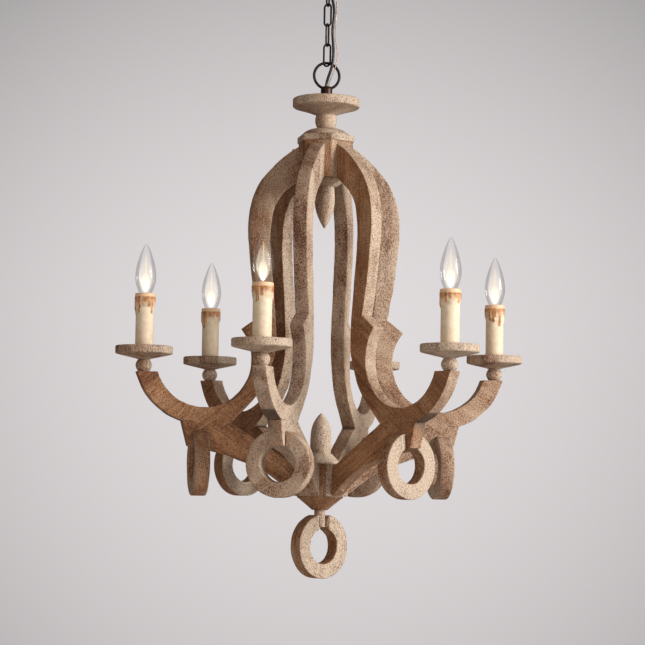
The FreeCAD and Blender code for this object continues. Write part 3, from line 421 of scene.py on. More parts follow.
def make_copper():
    """Bare stranded copper under a clear skin, so that it looks pale."""
    n = Nodes("copper")
    strands = n.noise((900.0, 900.0, 220.0), 2.0)
    colour = n.between(strands, 0.35, 0.65, (0.26, 0.17, 0.13), (0.62, 0.47, 0.39))
    normal = n.bump(strands, 0.5, 0.0006)
    return n.finish(Base_Color=colour, Roughness=0.42, Metallic=0.9, Normal=normal)


def make_cord_cover():
    """Near-black brown cover of the cord: fine ribs across it under a soft gloss."""
    n = Nodes("cord_cover")
    patch = n.noise(90.0, 3.0)
    ribs = n.add("ShaderNodeTexWave", Vector=n.space, Scale=95.0, bands_direction="Z").outputs["Fac"]
    colour = n.between(patch, 0.35, 0.7, (0.004, 0.003, 0.003), (0.022, 0.012, 0.010))
    normal = n.bump(ribs, 0.35, 0.0006)
    return n.finish(Base_Color=colour, Roughness=0.38, Normal=normal, Coat_Weight=0.3)


def make_dark_plastic(name, tint):
    """Moulded plastic with a fine grain."""
    n = Nodes(name)
    fine = n.noise(700.0, 2.0)
    colour = n.between(fine, 0.3, 0.7, tint, tuple(1.5 * t + 0.01 for t in tint))
    return n.finish(Base_Color=colour, Roughness=0.5, Normal=n.bump(fine, 0.15, 0.0003))


def make_wax():
    """Cream sleeve, a peach band at its top and orange-brown drips, from stored amounts."""
    n = Nodes("candle_wax")
    mottle = n.noise(120.0, 4.0, 0.6)
    cream = n.between(mottle, 0.3, 0.75, (0.74, 0.58, 0.40), (0.86, 0.76, 0.60))
    peach = n.mix(mottle, (0.80, 0.47, 0.26), (0.90, 0.66, 0.46))
    amber = n.between(mottle, 0.35, 0.65, (0.30, 0.105, 0.028), (0.66, 0.33, 0.13))
    colour = n.mix(n.attribute("band"), cream, peach)
    colour = n.mix(n.attribute("drip"), colour, amber)
    return n.finish(Base_Color=colour, Roughness=0.5, Normal=n.bump(mottle, 0.15, 0.0008),
                    Subsurface_Weight=0.25, Subsurface_Radius=(0.006, 0.003, 0.0015),
                    Specular_IOR_Level=0.4)


def make_glass():
    """Thin clear glass: it darkens to grey where it is seen edge on, and mirrors a little there."""
    n = Nodes("clear_glass")
    waves = n.bump(n.noise(40.0, 2.0), 0.03, 0.0008)
    edge = n.add("ShaderNodeLayerWeight", Blend=0.42, Normal=waves).outputs["Facing"]
    tint = n.ramp(edge, [(0.45, (0.99, 0.985, 0.98)), (0.82, (0.94, 0.935, 0.93)),
                         (0.97, (0.45, 0.445, 0.44))])
    clear = n.add("ShaderNodeBsdfTransparent", Color=tint)
    gloss = n.add("ShaderNodeBsdfGlossy", Roughness=0.12, Normal=waves)
    shine = n.add("ShaderNodeFresnel", IOR=1.45, Normal=waves).outputs[0]
    return n.output(n.either(n.maths("MULTIPLY", shine, 0.4), clear, gloss))


def make_glow_shells():
    """Lit air round the filament: nested shells, each a faint emitter.

    warmth is near 1 in the middle of the innermost shell. It falls from shell to shell, and
    towards the two ends of each."""
    n = Nodes("bulb_glow")
    warmth = n.attribute("warmth")
    colour = n.ramp(warmth, [(0.0, (1.0, 0.95, 0.87)), (0.6, (1.0, 0.85, 0.60)),
                             (1.0, (1.0, 0.92, 0.74))])
    strength = n.ramp(warmth, [(0.0, 0.15), (0.3, 0.17), (0.6, 0.30), (1.0, 1.0)])
    glow = n.add("ShaderNodeEmission", Color=colour, Strength=n.maths("MULTIPLY", strength, 7.0))
    solid = n.ramp(warmth, [(0.0, 0.0), (0.3, 0.22), (0.6, 0.40), (1.0, 0.75)])
    return n.output(n.either(solid, n.add("ShaderNodeBsdfTransparent"), glow))


def make_filament():
    """Light of a lamp's filament, which hides 0.6 of what lies behind it."""
    n = Nodes("filament")
    flicker = n.ramp(n.noise(150.0, 2.0), [(0.3, 0.82), (0.7, 1.0)])
    colour = n.mix(1.0, (1.0, 0.78, 0.38), flicker, "MULTIPLY")
    light = n.add("ShaderNodeEmission", Color=colour, Strength=1.5)
    return n.output(n.either(0.6, n.add("ShaderNodeBsdfTransparent"), light))


bronze = make_bronze()
steel = make_steel()
brass = make_brass()
copper = make_copper()
cord_cover = make_cord_cover()
wire_cover = make_dark_plastic("wire_cover", (0.012, 0.012, 0.012))
socket_plastic = make_dark_plastic("socket_plastic", (0.03, 0.028, 0.026))
wax = make_wax()
glass = make_glass()
bulb_glow = make_glow_shells()
filament = make_filament()
print("materials:", len(bpy.data.materials))

# %% Dressing a piece
# Painted light: the stored wash is raised by up to this much on faces turned to the key light, which
# stands to the camera's right, the side given below.
PAINTED_LIGHT = 0.55
PAINTED_LIGHT_SIDE = np.array(camera.matrix_world.to_3x3().col[0])


def paint_light_on_right(piece):
    """Painted light: adds to the stored wash on faces turned to the camera's right, where the key light
    falls, so that they look lit.

    stored wash += strength * max(0, normal . side)"""
    wash_and_light = piece.data.attributes.get("wash_and_light")
    if wash_and_light is None:
        return
    normals = np.array([v.normal[:] for v in piece.data.vertices])
    values = np.empty(len(normals))
    wash_and_light.data.foreach_get("value", values)
    wash_and_light.data.foreach_set("value", values + PAINTED_LIGHT * np.maximum(0, normals @ PAINTED_LIGHT_SIDE))


def dress(piece, material, body, replaces):
    """Give a new piece its material, its body and the CAD nodes it stands for."""
    piece.data.materials.append(material)
    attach(piece, body)
    if replaces:
        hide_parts(*replaces)
    # Painted light: a paler wash on faces turned to the key light.
    paint_light_on_right(piece)


def wooden(piece, body, node, grain, wash_and_light, seam_shade=None):
    """Dress a wooden piece, with its grain, its wash, which dressing raises with painted light, and its
    seam mark of dark glue lines and painted shade, stored on its points.
    """
    store(piece, "grain", grain)
    if seam_shade is not None:
        store(piece, "seam_shade", seam_shade)
    store(piece, "wash_and_light", wash_and_light)
    dress(piece, wood, body, (node,))


# %% [markdown]
# ## Cord and earth wire
#
# The cord leaves the hanger pipe inside the loop, climbs beside the chain and goes into the
# canopy's nipple. The bare earth wire hangs a little outside it. The chain swings at both its
# ends, so each is made of two pieces, a lower and an upper one, that meet in the middle.

# %% Cord and earth wire
CORD_POINTS = [
    (-1.2, 0.2, -249), (-1.2, 0.2, -235), (2.1, -4.0, -221), (6.8, -8.6, -206), (9.2, -8.6, -190),
    (9.6, -7.6, -173), (8.4, -6.2, -155), (7.2, -6.8, -137), (9.4, -8.6, -119), (9.8, -8.0, -102),
    (7.2, -5.4, -86), (2.8, -7.8, -70), (1.6, -7.4, -57), (0.4, -2.8, -46), (-1.2, 0.2, -36),
    (-1.2, 0.2, -26),
]
EARTH_POINTS = [
    (2.6, -0.5, -248), (2.8, -0.6, -235), (6.8, -3.4, -224), (11.0, -5.6, -212), (14.8, -6.8, -200),
    (16.9, -7.2, -187), (16.4, -7.9, -174), (13.3, -8.4, -160), (11.8, -9.8, -144), (11.6, -10.6, -127),
    (13.6, -11.0, -110), (13.2, -10.0, -95), (13.6, -10.4, -80), (8.6, -11.4, -66), (5.2, -9.0, -55),
    (4.2, -4.4, -46), (2.6, -0.5, -37), (2.6, -0.5, -28),
]


def smooth_route(points, steps=16):
    """The line whose control points these are: arcs that touch each run at its middle."""
    p = np.asarray(points, dtype=float)
    middles = (p[:-1] + p[1:]) / 2
    starts = np.vstack([p[:1], middles[1:-1]])
    ends = np.vstack([middles[1:-1], p[-1:]])
    t = np.linspace(0, 1, steps, endpoint=False)[:, None]
    arcs = [bend(a, b, c, t) for a, b, c in zip(starts, p[1:-1], ends)]
    return np.vstack(arcs + [p[-1:]])


def tube(name, line, diameter, sides=14):
    """Round tube along a line: a circle carried along it square to its direction, without twist."""
    ahead = np.gradient(line, axis=0)
    ahead /= np.linalg.norm(ahead, axis=1, keepdims=True)
    side = np.cross(ahead, (0.0, 1.0, 0.0))
    side /= np.linalg.norm(side, axis=1, keepdims=True)
    other = np.cross(ahead, side)
    angle = np.linspace(0, 2 * math.pi, sides, endpoint=False)[None, :, None]
    ring = side[:, None, :] * np.cos(angle) + other[:, None, :] * np.sin(angle)
    return surface(name, line[:, None, :] + ring * diameter / 2)


CORD_SPLIT = -137.0
for cord_name, cord_points, cord_dia, cord_material, cord_slot in (
        ("power_cord", CORD_POINTS, 5.0, cord_cover, "cord_cover"),
        ("earth_wire", EARTH_POINTS, 1.5, copper, "copper")):
    line = smooth_route(cord_points)
    split = int(np.argmax(line[:, 2] > CORD_SPLIT))
    halves = (("lower", line[:split + 1], "chandelier", "chain", -0.235, -0.190),
              ("upper", line[split:], "chain", "ceiling", -0.075, -0.045))
    for half_name, path, start_body, end_body, start_level, end_level in halves:
        piece = tube("%s_%s" % (cord_name, half_name), path, cord_dia)
        piece.data.materials.append(cord_material)
        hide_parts(cord_name)
        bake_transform(piece)

# %% [markdown]
# ## Arms
#
# An arm is three boards of 25 mm stock, glued edge to edge: the bow from the upper hub down to
# the waist, the horn from the ear round the saddle to the candle, and the strut from the lower
# hub out to the tail. Each board is given by rungs: pairs of points on its two edges, as
# (distance from the axis, height over the candle platform). A smooth line runs through each
# edge. The section across a rung is a rectangle with worn corners.

# %% Boards
ARM_ANGLES = [60.0 * step for step in range(6)]
PLATFORM = -741.0
ARM_THICK = 25.0

SADDLE_CENTRE = np.array([205.0, 25.0])
SADDLE_RADIUS = 83.5


def saddle(degrees):
    turn = math.radians(degrees)
    return tuple(SADDLE_CENTRE + SADDLE_RADIUS * np.array([math.cos(turn), math.sin(turn)]))


def chained(*stretches):
    """Smooth stretches of rungs, each begun by the last rung of the one before.

    The boards have a true corner where two stretches meet."""
    full = [stretches[0]]
    for stretch in stretches[1:]:
        full.append(full[-1][-1:] + stretch)
    return full


BOW_RUNGS = chained([
    ((43, 398), (43, 340)), ((65, 383), (57, 327)), ((82, 368), (66, 320)), ((97, 352), (75, 312)),
    ((112, 333), (83.5, 300)), ((122, 311), (90, 286)), ((129, 286), (94, 269)),
    ((131.5, 258), (96, 249)), ((130.5, 232), (96.5, 228)), ((127, 195), (94, 193)),
    ((121.5, 152), (90, 152)), ((115, 117), (86.5, 118)), ((111.5, 98.5), (84.5, 93)),
])
HORN_RUNGS = chained(
    [((111.5, 98.5), (84.5, 93)), ((126, 88), (83.5, 76)), ((140, 77.5), (83, 58))],
    [(saddle(155), (84, 42)), (saddle(170), (87.5, 24)),
     (saddle(186), (93.5, 5)), (saddle(201), (102, -17)),
     (saddle(216), (114, -35.5)), (saddle(229), (129, -53)),
     (saddle(240), (143.5, -68)), (saddle(250), (158.5, -84))],
    [(saddle(258), (176, -93))], [(saddle(262), (184, -80))],
    [(saddle(276), (213, -97))], [(saddle(281), (222, -82))],
    [(saddle(290), (242, -82))],
    [(saddle(302), (264, -72.5)), (saddle(314), (281, -60.5)),
     (saddle(325), (296.5, -45.5)), (saddle(334.5), (309.5, -26)),
     ((284.7, 0), (320.8, 0))])
STRUT_RUNGS = chained(
    [((43, -157), (43, -204.6)), ((64, -143.5), (61, -190.5)), ((88, -128), (86, -171.5)),
     ((113, -112.5), (112, -157)), ((136, -98), (140, -147)), ((158.5, -84), (164, -138))],
    [((176, -93), (178, -134.5))], [((184, -80), (185, -133))], [((213, -97), (207, -128.5))],
    [((222, -82), (215, -127))], [((242, -82), (231, -124))])


def edges_from_rungs(stretches, steps):
    """Two edge lines with a point each per station, smooth within a stretch."""
    left, right = [], []
    for stretch in stretches:
        for side, line in ((0, left), (1, right)):
            points = curve_through([rung[side] for rung in stretch], steps)
            line.extend(points if not line else points[1:])
    return np.array(left), np.array(right)


def section_loop():
    """One closed loop round a rectangle with worn corners.

    A row is (edge, inset, drop, face, level). edge is 0 on the left edge and 1 on the right.
    inset is how far in from that edge and drop how far down from the face, both in corner
    radii. face is the side of the board, and level the share of half its thickness."""
    quarter = np.linspace(0, math.pi / 2, 4)
    corner = list(zip(1 - np.cos(quarter), 1 - np.sin(quarter)))
    rows = []
    for edge, other, face, middles in ((0.0, 1.0, 1.0, (0.28, 0.5, 0.72)),
                                       (1.0, 0.0, -1.0, (0.72, 0.5, 0.28))):
        rows += [(edge, 0.0, 0.0, -face, FLANK), (edge, 0.0, 0.0, face, FLANK)]
        rows += [(edge, a, b, face, 1.0) for a, b in corner] + [(edge, 3.0, 0.0, face, 1.0)]
        rows += [(middle, 0.0, 0.0, face, 1.0) for middle in middles]
        rows += [(other, 3.0, 0.0, face, 1.0)]
        rows += [(other, a, b, face, 1.0) for a, b in corner[::-1]]
    return np.array(rows)


# Level of the two rows on each narrow edge, and the corner radius of a glued edge, in mm.
FLANK = 0.35
TIGHT = 0.25
SECTION = section_loop()
# How far, in mm, an edge wanders, a face swells, and a face lies under the board's full thickness.
EDGE_WANDER = 0.3
FACE_SWELL = 0.25
FACE_SUNK = 0.3


def board(left, right, thick, wear, seed, end_wear, grain_angle, joined=(None, None)):
    """Board between two edge lines in a plane, as a grid of worn rectangles.

    point = left + (right - left) * edge + inset along the rung, at a depth across the plane.
    The edges wander by a few tenths of a millimetre, as hand-sanded ones do. joined gives for
    each edge the run, in mm, from which it is glued to the next board and stays sharp.
    Returns the grid and, for its points, the grain, how far they lie on the narrow edges, and
    the seam mark: 1 on glued seams and on butted ends, for a dark glue line and painted shade."""
    left = left.copy()
    right = right.copy()
    steps = np.linalg.norm(np.diff((left + right) / 2, axis=0), axis=1)
    run = np.concatenate([[0.0], np.cumsum(steps)])
    ends = ((end_wear[0], run), (end_wear[1], run[-1] - run))
    rung = right - left
    width = np.linalg.norm(rung, axis=1, keepdims=True)
    unit = rung / width
    glued = np.array([[start is not None and a <= r <= b for r in run]
                      for start, (a, b) in ((s, s or (0, 0)) for s in joined)])
    left += unit * (EDGE_WANDER * ripple(run, seed, 5, 60.0) * ~glued[0])[:, None]
    right -= unit * (EDGE_WANDER * ripple(run, seed + 1, 5, 60.0) * ~glued[1])[:, None]
    shrink = np.zeros(len(run))
    for near, distance in ends:
        inside = np.clip(near - distance, 0, near)
        shrink = np.maximum(shrink, near - np.sqrt(np.maximum(near ** 2 - inside ** 2, 0)))
    edge, inset, drop, face, level = SECTION.T
    radius = np.where(glued, TIGHT, wear)
    radius = radius[0][:, None] * (1 - edge) + radius[1][:, None] * edge
    inward = np.where(edge == 0, 1, np.where(edge == 1, -1, 0))
    place = left[:, None, :] + (right - left)[:, None, :] * edge[None, :, None]
    push = (inset * radius + shrink[:, None]) * inward
    place = place + unit[:, None, :] * push[:, :, None]
    swell = FACE_SWELL * ripple(run[:, None] + 40 * edge[None, :], seed + 2, 4, 90.0) - FACE_SUNK
    half = thick / 2 + np.minimum(swell, 0) * (level == 1) * (1 - shrink / max(end_wear))[:, None]
    depth = face * (half * level - drop * radius) * (1 - shrink[:, None] / (thick / 2))
    grid = np.stack([place[:, :, 0], depth, place[:, :, 1]], axis=-1)
    turn = math.radians(grain_angle)
    along = grid[:, :, 0] * math.cos(turn) + grid[:, :, 2] * math.sin(turn)
    across = -grid[:, :, 0] * math.sin(turn) + grid[:, :, 2] * math.cos(turn)
    offset = np.random.default_rng(seed + 7).uniform(0, 3, 3)
    grain = np.stack([along, across, grid[:, :, 1]], axis=-1) * MM + offset
    rim = np.where(level < 1, 1.0, drop)[None, :] + 0 * shrink[:, None]
    # Seam mark: a dark glue line with painted shade along glued edges and, just below, at butted ends.
    seam_shade = np.where(edge == 0, glued[0][:, None], np.where(edge == 1, glued[1][:, None], False))
    seam_shade = 1.0 * (seam_shade & (inset < 3)[None, :])
    for near, distance in ends:
        if near < 0.5:
            seam_shade = np.maximum(seam_shade, (distance < 0.3 * near)[:, None] * 1.0)
    return grid, grain.reshape(-1, 3), rim.ravel(), seam_shade.ravel()


def with_end_stations(stretches, steps, wear):
    """Edge lines with a few more stations close to both ends, where the ends are rounded."""
    left, right = edges_from_rungs(stretches, steps)
    for _ in range(2):
        left, right = left[::-1], right[::-1]
        span = np.linalg.norm((left[1] + right[1] - left[0] - right[0]) / 2)
        extra = [f for f in (0.12 * wear, 0.4 * wear, wear) if f < span * 0.9]
        blend = np.array(extra)[:, None] / span
        left = np.vstack([left[:1], left[:1] + (left[1] - left[0]) * blend, left[1:]])
        right = np.vstack([right[:1], right[:1] + (right[1] - right[0]) * blend, right[1:]])
    return left, right


# How much wash each arm's boards keep on their broad faces, in the order bow, horn, strut.
ARM_WASH = [(0.26, 0.10, 0.10), (0.0, -0.04, -0.12), (-0.06, -0.14, -0.18),
            (0.02, -0.30, -0.38), (0.02, 0.08, 0.0), (-0.16, -0.20, -0.38)]
RIM_WASH = 0.24
# The runs over which the horn's right edge and the strut's left edge are glued to each other.
HORN_SEAM = (203.0, 302.0)
STRUT_SEAM = (132.0, 260.0)
BOARDS = (("bow", BOW_RUNGS, 6, (0.3, 0.4), 92.0, (None, None)),
          ("horn", HORN_RUNGS, 5, (0.4, 1.2), -38.0, (None, HORN_SEAM)),
          ("strut", STRUT_RUNGS, 6, (0.3, 1.2), 30.0, (STRUT_SEAM, None)))

for arm_number, arm_angle in enumerate(ARM_ANGLES, start=1):
    for board_number, (part, rungs, steps, end_wear, grain_angle, joined) in enumerate(BOARDS):
        left_edge, right_edge = with_end_stations(rungs, steps, max(end_wear))
        piece_seed = 100 * arm_number + 10 * board_number
        points, grain, rim, seam_shade = board(left_edge, right_edge, ARM_THICK, 1.3, piece_seed, end_wear,
                                         grain_angle, joined)
        piece = surface("arm_%d_%s" % (arm_number, part), placed(points, arm_angle, (0, 0, PLATFORM)))
        wooden(piece, "chandelier", "arm_%d" % arm_number, grain,
               ARM_WASH[arm_number - 1][board_number] + RIM_WASH * rim, seam_shade)
print("arms: 18 boards")

# %% [markdown]
# ## Hanging rings
#
# A ring is a flat wooden ring with a slot in its top, where the tail of its arm comes through.
# It is made as one more board: its two edges are the outer and the inner circle, from one side
# of the slot round to the other.

# %% Rings
RING_OUT = 55.0
RING_IN = 30.0
RING_THICK = 25.0
RING_DROP = 42.5
RING_CIRCLE = 211.0
RING_PIN = -851.5


def ring_edges(slot, stations=72):
    """Outer and inner edge of a slotted ring in its own plane, the slot at the top."""
    edges = []
    for radius in (RING_OUT, RING_IN):
        start = math.asin(slot / 2 / radius)
        angle = np.linspace(start, 2 * math.pi - start, stations)
        edges.append(np.stack([radius * np.sin(angle), radius * np.cos(angle)], axis=-1))
    return edges


def add_ring(name, body, slot, turn, centre, wash_level, seed):
    """One ring that faces the direction of its turn."""
    outer, inner = ring_edges(slot)
    grid, grain, rim, seam_shade = board(outer, inner, RING_THICK, 1.8, seed, (0.8, 0.8), 74.0)
    facing = np.stack([grid[..., 1], grid[..., 0], grid[..., 2]], axis=-1)
    piece = surface(name + "_wood", placed(facing, turn, centre))
    wooden(piece, body, name, grain, wash_level - 0.4 * rim, 0.5 * seam_shade)


RING_WASH = (0.55, 0.25, 0.20, 0.25, 0.25, 0.42)
for number, angle in enumerate(ARM_ANGLES, start=1):
    spot = placed([(RING_CIRCLE, 0.0, RING_PIN - RING_DROP)], angle)[0]
    add_ring("hanging_ring_%d" % number, "ring_%d" % number, ARM_THICK + 3.0, angle, spot,
             RING_WASH[number - 1], 900 + number)
add_ring("bottom_ring", "lowest_ring", 22.4, 300.0, (0.0, 0.0, -989.0 - RING_DROP), 0.30, 950)
print("rings: 7")

# %% [markdown]
# ## Turned pieces and hubs
#
# The crown, the finials, the cone and the peg are turned, and the grain runs along their axis.
# The hubs and the cap plate are six-sided, with a flat towards each arm.

# %% Turned pieces and hubs
# Wear of a turned corner and unevenness of a turned radius, in mm.
TURNED_WEAR = 0.7
TURNED_WOBBLE = 0.12


def upright(piece, node, wash_level, seed):
    """Finish a turned or six-sided piece of the chandelier, its grain along the axis."""
    count = len(piece.data.vertices)
    points = np.empty(count * 3)
    piece.data.vertices.foreach_get("co", points)
    offset = np.random.default_rng(seed).uniform(0, 3, 3)
    wooden(piece, "chandelier", node, points.reshape(-1, 3)[:, [2, 0, 1]] + offset,
           np.full(count, wash_level))


def add_turned(name, profile, level, wash_level, seed, node=None, centre=(0.0, 0.0), segments=96):
    """A turned wooden piece, from its profile counted up from a level."""
    piece = spun(name + "_wood", softened(profile, TURNED_WEAR), (*centre, level), segments,
                 TURNED_WOBBLE, seed)
    upright(piece, node or name, wash_level, seed)


def sampled(first, middle, last, steps=10):
    """Points of the bend from first to last that passes through the middle point."""
    t = np.linspace(0, 1, steps + 1)[:, None]
    first, middle, last = (np.array(p, dtype=float) for p in (first, middle, last))
    return [tuple(p) for p in bend(first, 2 * middle - (first + last) / 2, last, t)]


add_turned("crown_disc", [(1.0, 0.0), (17.6, 0.0, 0.5)]
           + sampled((18.2, 1.0), (38.0, 8.2), (56.4, 13.6), 6)
           + [(58.3, 15.2), (58.3, 27.4), (56.6, 28.9)]
           + sampled((55.0, 29.2), (34.0, 30.5), (9.0, 31.0), 6) + [(1.0, 31.0)], -289.0, 0.34, 11)
add_turned("crown_bead", [(1.0, 0.0)] + sampled((14.7, 0.0), (18.9, 12.0), (17.2, 23.0), 12)
           + [(1.0, 23.0)], -312.0, 0.18, 12)
add_turned("crown_dome", [(1.0, 0.0), (41.0, 0.0, 0.8), (41.5, 2.4, 0.8)]
           + sampled((40.0, 4.0), (30.5, 10.2), (15.5, 14.0), 10) + [(1.0, 14.0)], -326.0, 0.28, 13)
add_turned("upper_finial", [(0.5, 0.0)] + sampled((0.9, 0.3), (12.2, 22.0), (17.0, 43.0), 14)
           + sampled((17.1, 46.0), (17.0, 58.0), (15.6, 72.0), 8)
           + [(19.2, 72.8, 0.8), (32.6, 81.4), (33.0, 84.6, 0.6), (1.0, 84.6)], -485.6, 0.22, 14)
add_turned("lower_finial", [(1.0, 0.0), (33.0, 0.0, 0.6), (33.0, 3.0, 0.8)]
           + sampled((31.0, 5.0), (24.4, 11.4), (19.1, 17.0), 5) + [(16.7, 17.4, 0.4)]
           + sampled((17.0, 20.0), (18.1, 31.0), (18.0, 42.0), 8)
           + sampled((17.8, 45.0), (13.6, 68.0), (0.9, 86.2), 14) + [(0.4, 86.4)], -891.0, 0.45, 15)
add_turned("lower_cone", [(1.0, 0.0), (13.5, 0.0, 0.6)]
           + sampled((14.3, 0.9), (26.0, 10.8), (37.8, 20.2), 5)
           + [(39.5, 21.0, 0.5), (39.5, 23.4, 0.6), (1.0, 23.4)], -970.0, -0.2, 16)
add_turned("ring_peg", [(1.0, 0.0), (9.5, 0.0, 1.0), (9.5, 29.0, 0.4), (1.0, 29.0)],
           -999.0, 0.20, 17)


def prism(node, apothem, height, level, wear, wash_level, seed):
    """Six-sided block with a flat towards each arm, its corners and rims worn.

    The outline at each height is the hexagon |p| = apothem / cos(angle from the flat), pulled
    in towards a circle at its corners by the wear."""
    angle = np.linspace(0, 2 * math.pi, 180, endpoint=False) + math.radians(1)
    from_flat = (angle + math.pi / 6) % (math.pi / 3) - math.pi / 6
    corner = apothem / math.cos(math.pi / 6)
    outline = np.minimum(apothem / np.cos(from_flat), corner - wear * 0.35)
    rows = [(0.0, wear), (0.12 * wear, 0.5 * wear), (0.5 * wear, 0.12 * wear), (wear, 0.0)]
    rows += [(height * f, 0.0) for f in (0.3, 0.5, 0.7)]
    rows += [(height - z, pull) for z, pull in rows[3::-1]]
    grid = np.array([[((r - pull) * math.cos(a), (r - pull) * math.sin(a), level + z)
                      for r, a in zip(outline, angle)] for z, pull in rows])
    upright(surface(node + "_wood", grid), node, wash_level, seed)


prism("hub_cap", 45.0, 11.0, -337.0, 1.0, 0.34, 21)
prism("upper_hub", 43.0, 64.0, -401.0, 0.6, -0.15, 22)
prism("lower_hub", 43.0, 55.6, -946.6, 0.6, 0.08, 23)
print("turned pieces: 7, six-sided blocks: 3")

# %% [markdown]
# ## Drip cups, candle sleeves and bulbs
#
# A bead and a shallow dished cup sit on the end of each arm. The sleeve is a thin tube. Wax has
# run down it: a layer with an uneven lower edge, and narrow drips over that. The bulb is one
# closed skin, because its glass is too thin for a wall to show. Inside it are a bright streak
# and the glow round that, made of three nested shells.

# %% Cups and beads
cap_low, cap_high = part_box("bulb_cap_1")
CANDLE_CIRCLE = (cap_low.x + cap_high.x) / 2 / MM
CANDLE_SPOTS = [placed([(CANDLE_CIRCLE, 0.0, 0.0)], angle)[0][:2] for angle in ARM_ANGLES]
BEAD_PROFILE = ([(5.0, 0.0), (8.8, 0.0, 0.4)] + sampled((9.4, 0.6), (13.9, 10.5), (9.4, 20.4), 14)
                + [(8.8, 21.0, 0.4), (5.0, 21.0)])
CUP_PROFILE = ([(5.0, 0.0), (12.6, 0.0, 0.8)] + sampled((13.4, 0.7), (30.0, 4.4), (46.8, 8.4), 6)
               + [(48.5, 9.8), (48.5, 20.6), (47.2, 22.0), (44.9, 21.9, 0.8), (43.4, 18.1, 1.6),
                  (5.0, 18.0)])
CUP_WASH = (0.3, 0.3, 0.25, 0.25, 0.35, 0.5)

for number, (spot, wash_level) in enumerate(zip(CANDLE_SPOTS, CUP_WASH), start=1):
    add_turned("drip_cup_%d" % number, CUP_PROFILE, -720.0, wash_level, 30 + number, None, spot)
    add_turned("cup_bead_%d" % number, BEAD_PROFILE, -741.0, wash_level - 0.05, 40 + number,
               "cup_beads", spot, 64)
print("cups: 6, beads: 6")

# %% Candle sleeves with wax drips
sleeve_low, sleeve_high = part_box("candle_sleeves")
SLEEVE_LOW = sleeve_low.z / MM
SLEEVE_HIGH = sleeve_high.z / MM
SLEEVE_RADIUS = sleeve_high.x / MM - CANDLE_CIRCLE
SLEEVE_BORE = SLEEVE_RADIUS - 2.6
WAX = 1.5


def smooth_step(x):
    x = np.clip(x, 0, 1)
    return x * x * (3 - 2 * x)


def wax_amounts(angle, below, seed):
    """How thick the wax is, how much of it is band and how much is drip.

    angle goes round the sleeve and below is mm under its top. The layer thins out at an uneven
    line. The drips run together under the band, and each ends as a tongue with a thick tip."""
    rng = np.random.default_rng(seed)
    layer_end = 27.0 + 6.0 * ripple(angle, seed, 4, 2 * math.pi)
    layer = 1 - smooth_step((below - layer_end + 6.0) / 8.0)
    band = 1 - smooth_step((below - 6.5 - 0.8 * ripple(angle, seed + 3, 4, 2 * math.pi)) / 1.6)
    drip = np.zeros_like(below)
    count = 15
    for number in range(count):
        middle = 2 * math.pi * (number + rng.uniform(-0.4, 0.4)) / count
        length = rng.choice([rng.uniform(11.0, 18.0), rng.uniform(20.0, 38.0)])
        half = rng.uniform(0.08, 0.18)
        offset = np.abs((angle - middle + math.pi) % (2 * math.pi) - math.pi)
        widen = 1.0 + 0.3 * np.exp(-((below - length + 3.0) / 3.0) ** 2)
        widen = widen + 0.9 * (1 - smooth_step((below - 6.0) / 9.0))
        side = 1 - smooth_step((offset / (half * widen) - 0.55) / 0.55)
        tip = 1 - smooth_step((below - length + 2.0) / 2.6)
        drip = np.maximum(drip, side * tip)
    drip = drip * smooth_step((below - 5.0) / 2.0)
    thick = WAX * layer + 0.3 * band + 0.8 * drip
    zone = smooth_step((below - 5.5) / 2.0) * (1 - smooth_step((below - 9.0) / 17.0))
    return thick, band * (1 - drip), np.maximum(drip, 0.8 * zone)


def add_sleeve(number, x, y, seed):
    """Candle sleeve as a closed tube: up the outside, over the rim and down the bore.

    outer radius = sleeve radius + wax(angle, distance below the top), in mm."""
    heights = np.concatenate([np.linspace(SLEEVE_LOW, SLEEVE_HIGH - 42, 6)[:-1],
                              np.linspace(SLEEVE_HIGH - 42, SLEEVE_HIGH - 1.2, 52)])[:, None]
    angle = np.linspace(0, 2 * math.pi, 144, endpoint=False)
    level = np.zeros_like(angle)
    thick, band, drip = wax_amounts(angle + 0 * heights, SLEEVE_HIGH - heights + level, seed)
    wall = SLEEVE_RADIUS - 0.1 + thick
    rim = [(wall[-1] - 0.5, -0.35), (wall[-1] - 1.2, 0.0), (SLEEVE_BORE + 1.0, 0.0),
           (SLEEVE_BORE + 0.3, -0.4), (SLEEVE_BORE, -1.2), (SLEEVE_BORE, -30.0),
           (SLEEVE_BORE, SLEEVE_LOW - SLEEVE_HIGH)]
    radius = np.vstack([wall] + [level + r for r, _ in rim])
    height = np.vstack([heights + level] + [level + SLEEVE_HIGH + z for _, z in rim])
    grid = np.stack([x + radius * np.cos(angle), y + radius * np.sin(angle), height], axis=-1)
    piece = surface("candle_sleeve_%d_wax" % number, grid, wrap=True)
    extra = np.ones((len(rim), len(angle)))
    extra[-2:] = 0
    store(piece, "band", np.vstack([band, extra]).ravel())
    store(piece, "drip", np.vstack([drip, 0 * extra]).ravel())
    dress(piece, wax, "chandelier", ("candle_sleeves",))


for number, (x, y) in enumerate(CANDLE_SPOTS, start=1):
    add_sleeve(number, x, y, 60 + number)
print("sleeves: 6")

# %% Bulbs
glass_low, glass_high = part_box("bulb_glass_1")
GLASS_LOW = glass_low.z / MM
GLASS_HEIGHT = (glass_high.z - glass_low.z) / MM
GLASS_OUTLINE = curve_through([
    (7.2, 0.0), (9.4, 0.019), (12.2, 0.073), (15.1, 0.165), (17.0, 0.26), (17.5, 0.337), (17.2, 0.425),
    (16.0, 0.52), (14.0, 0.625), (11.2, 0.732), (8.2, 0.832), (5.3, 0.909), (2.9, 0.963),
    (1.3, 0.988), (0.5, 0.999)], 5) * (1.0, GLASS_HEIGHT)


def add_glass(number, x, y):
    """Blown glass: the closed skin of its outer face. Its wall is too thin to show."""
    profile = np.vstack([GLASS_OUTLINE, [(0.12, GLASS_HEIGHT)]])
    piece = spun("bulb_glass_%d_skin" % number, profile, (x, y, GLASS_LOW), 72)
    dress(piece, glass, "bulb_%d" % number, ("bulb_glass_%d" % number,))


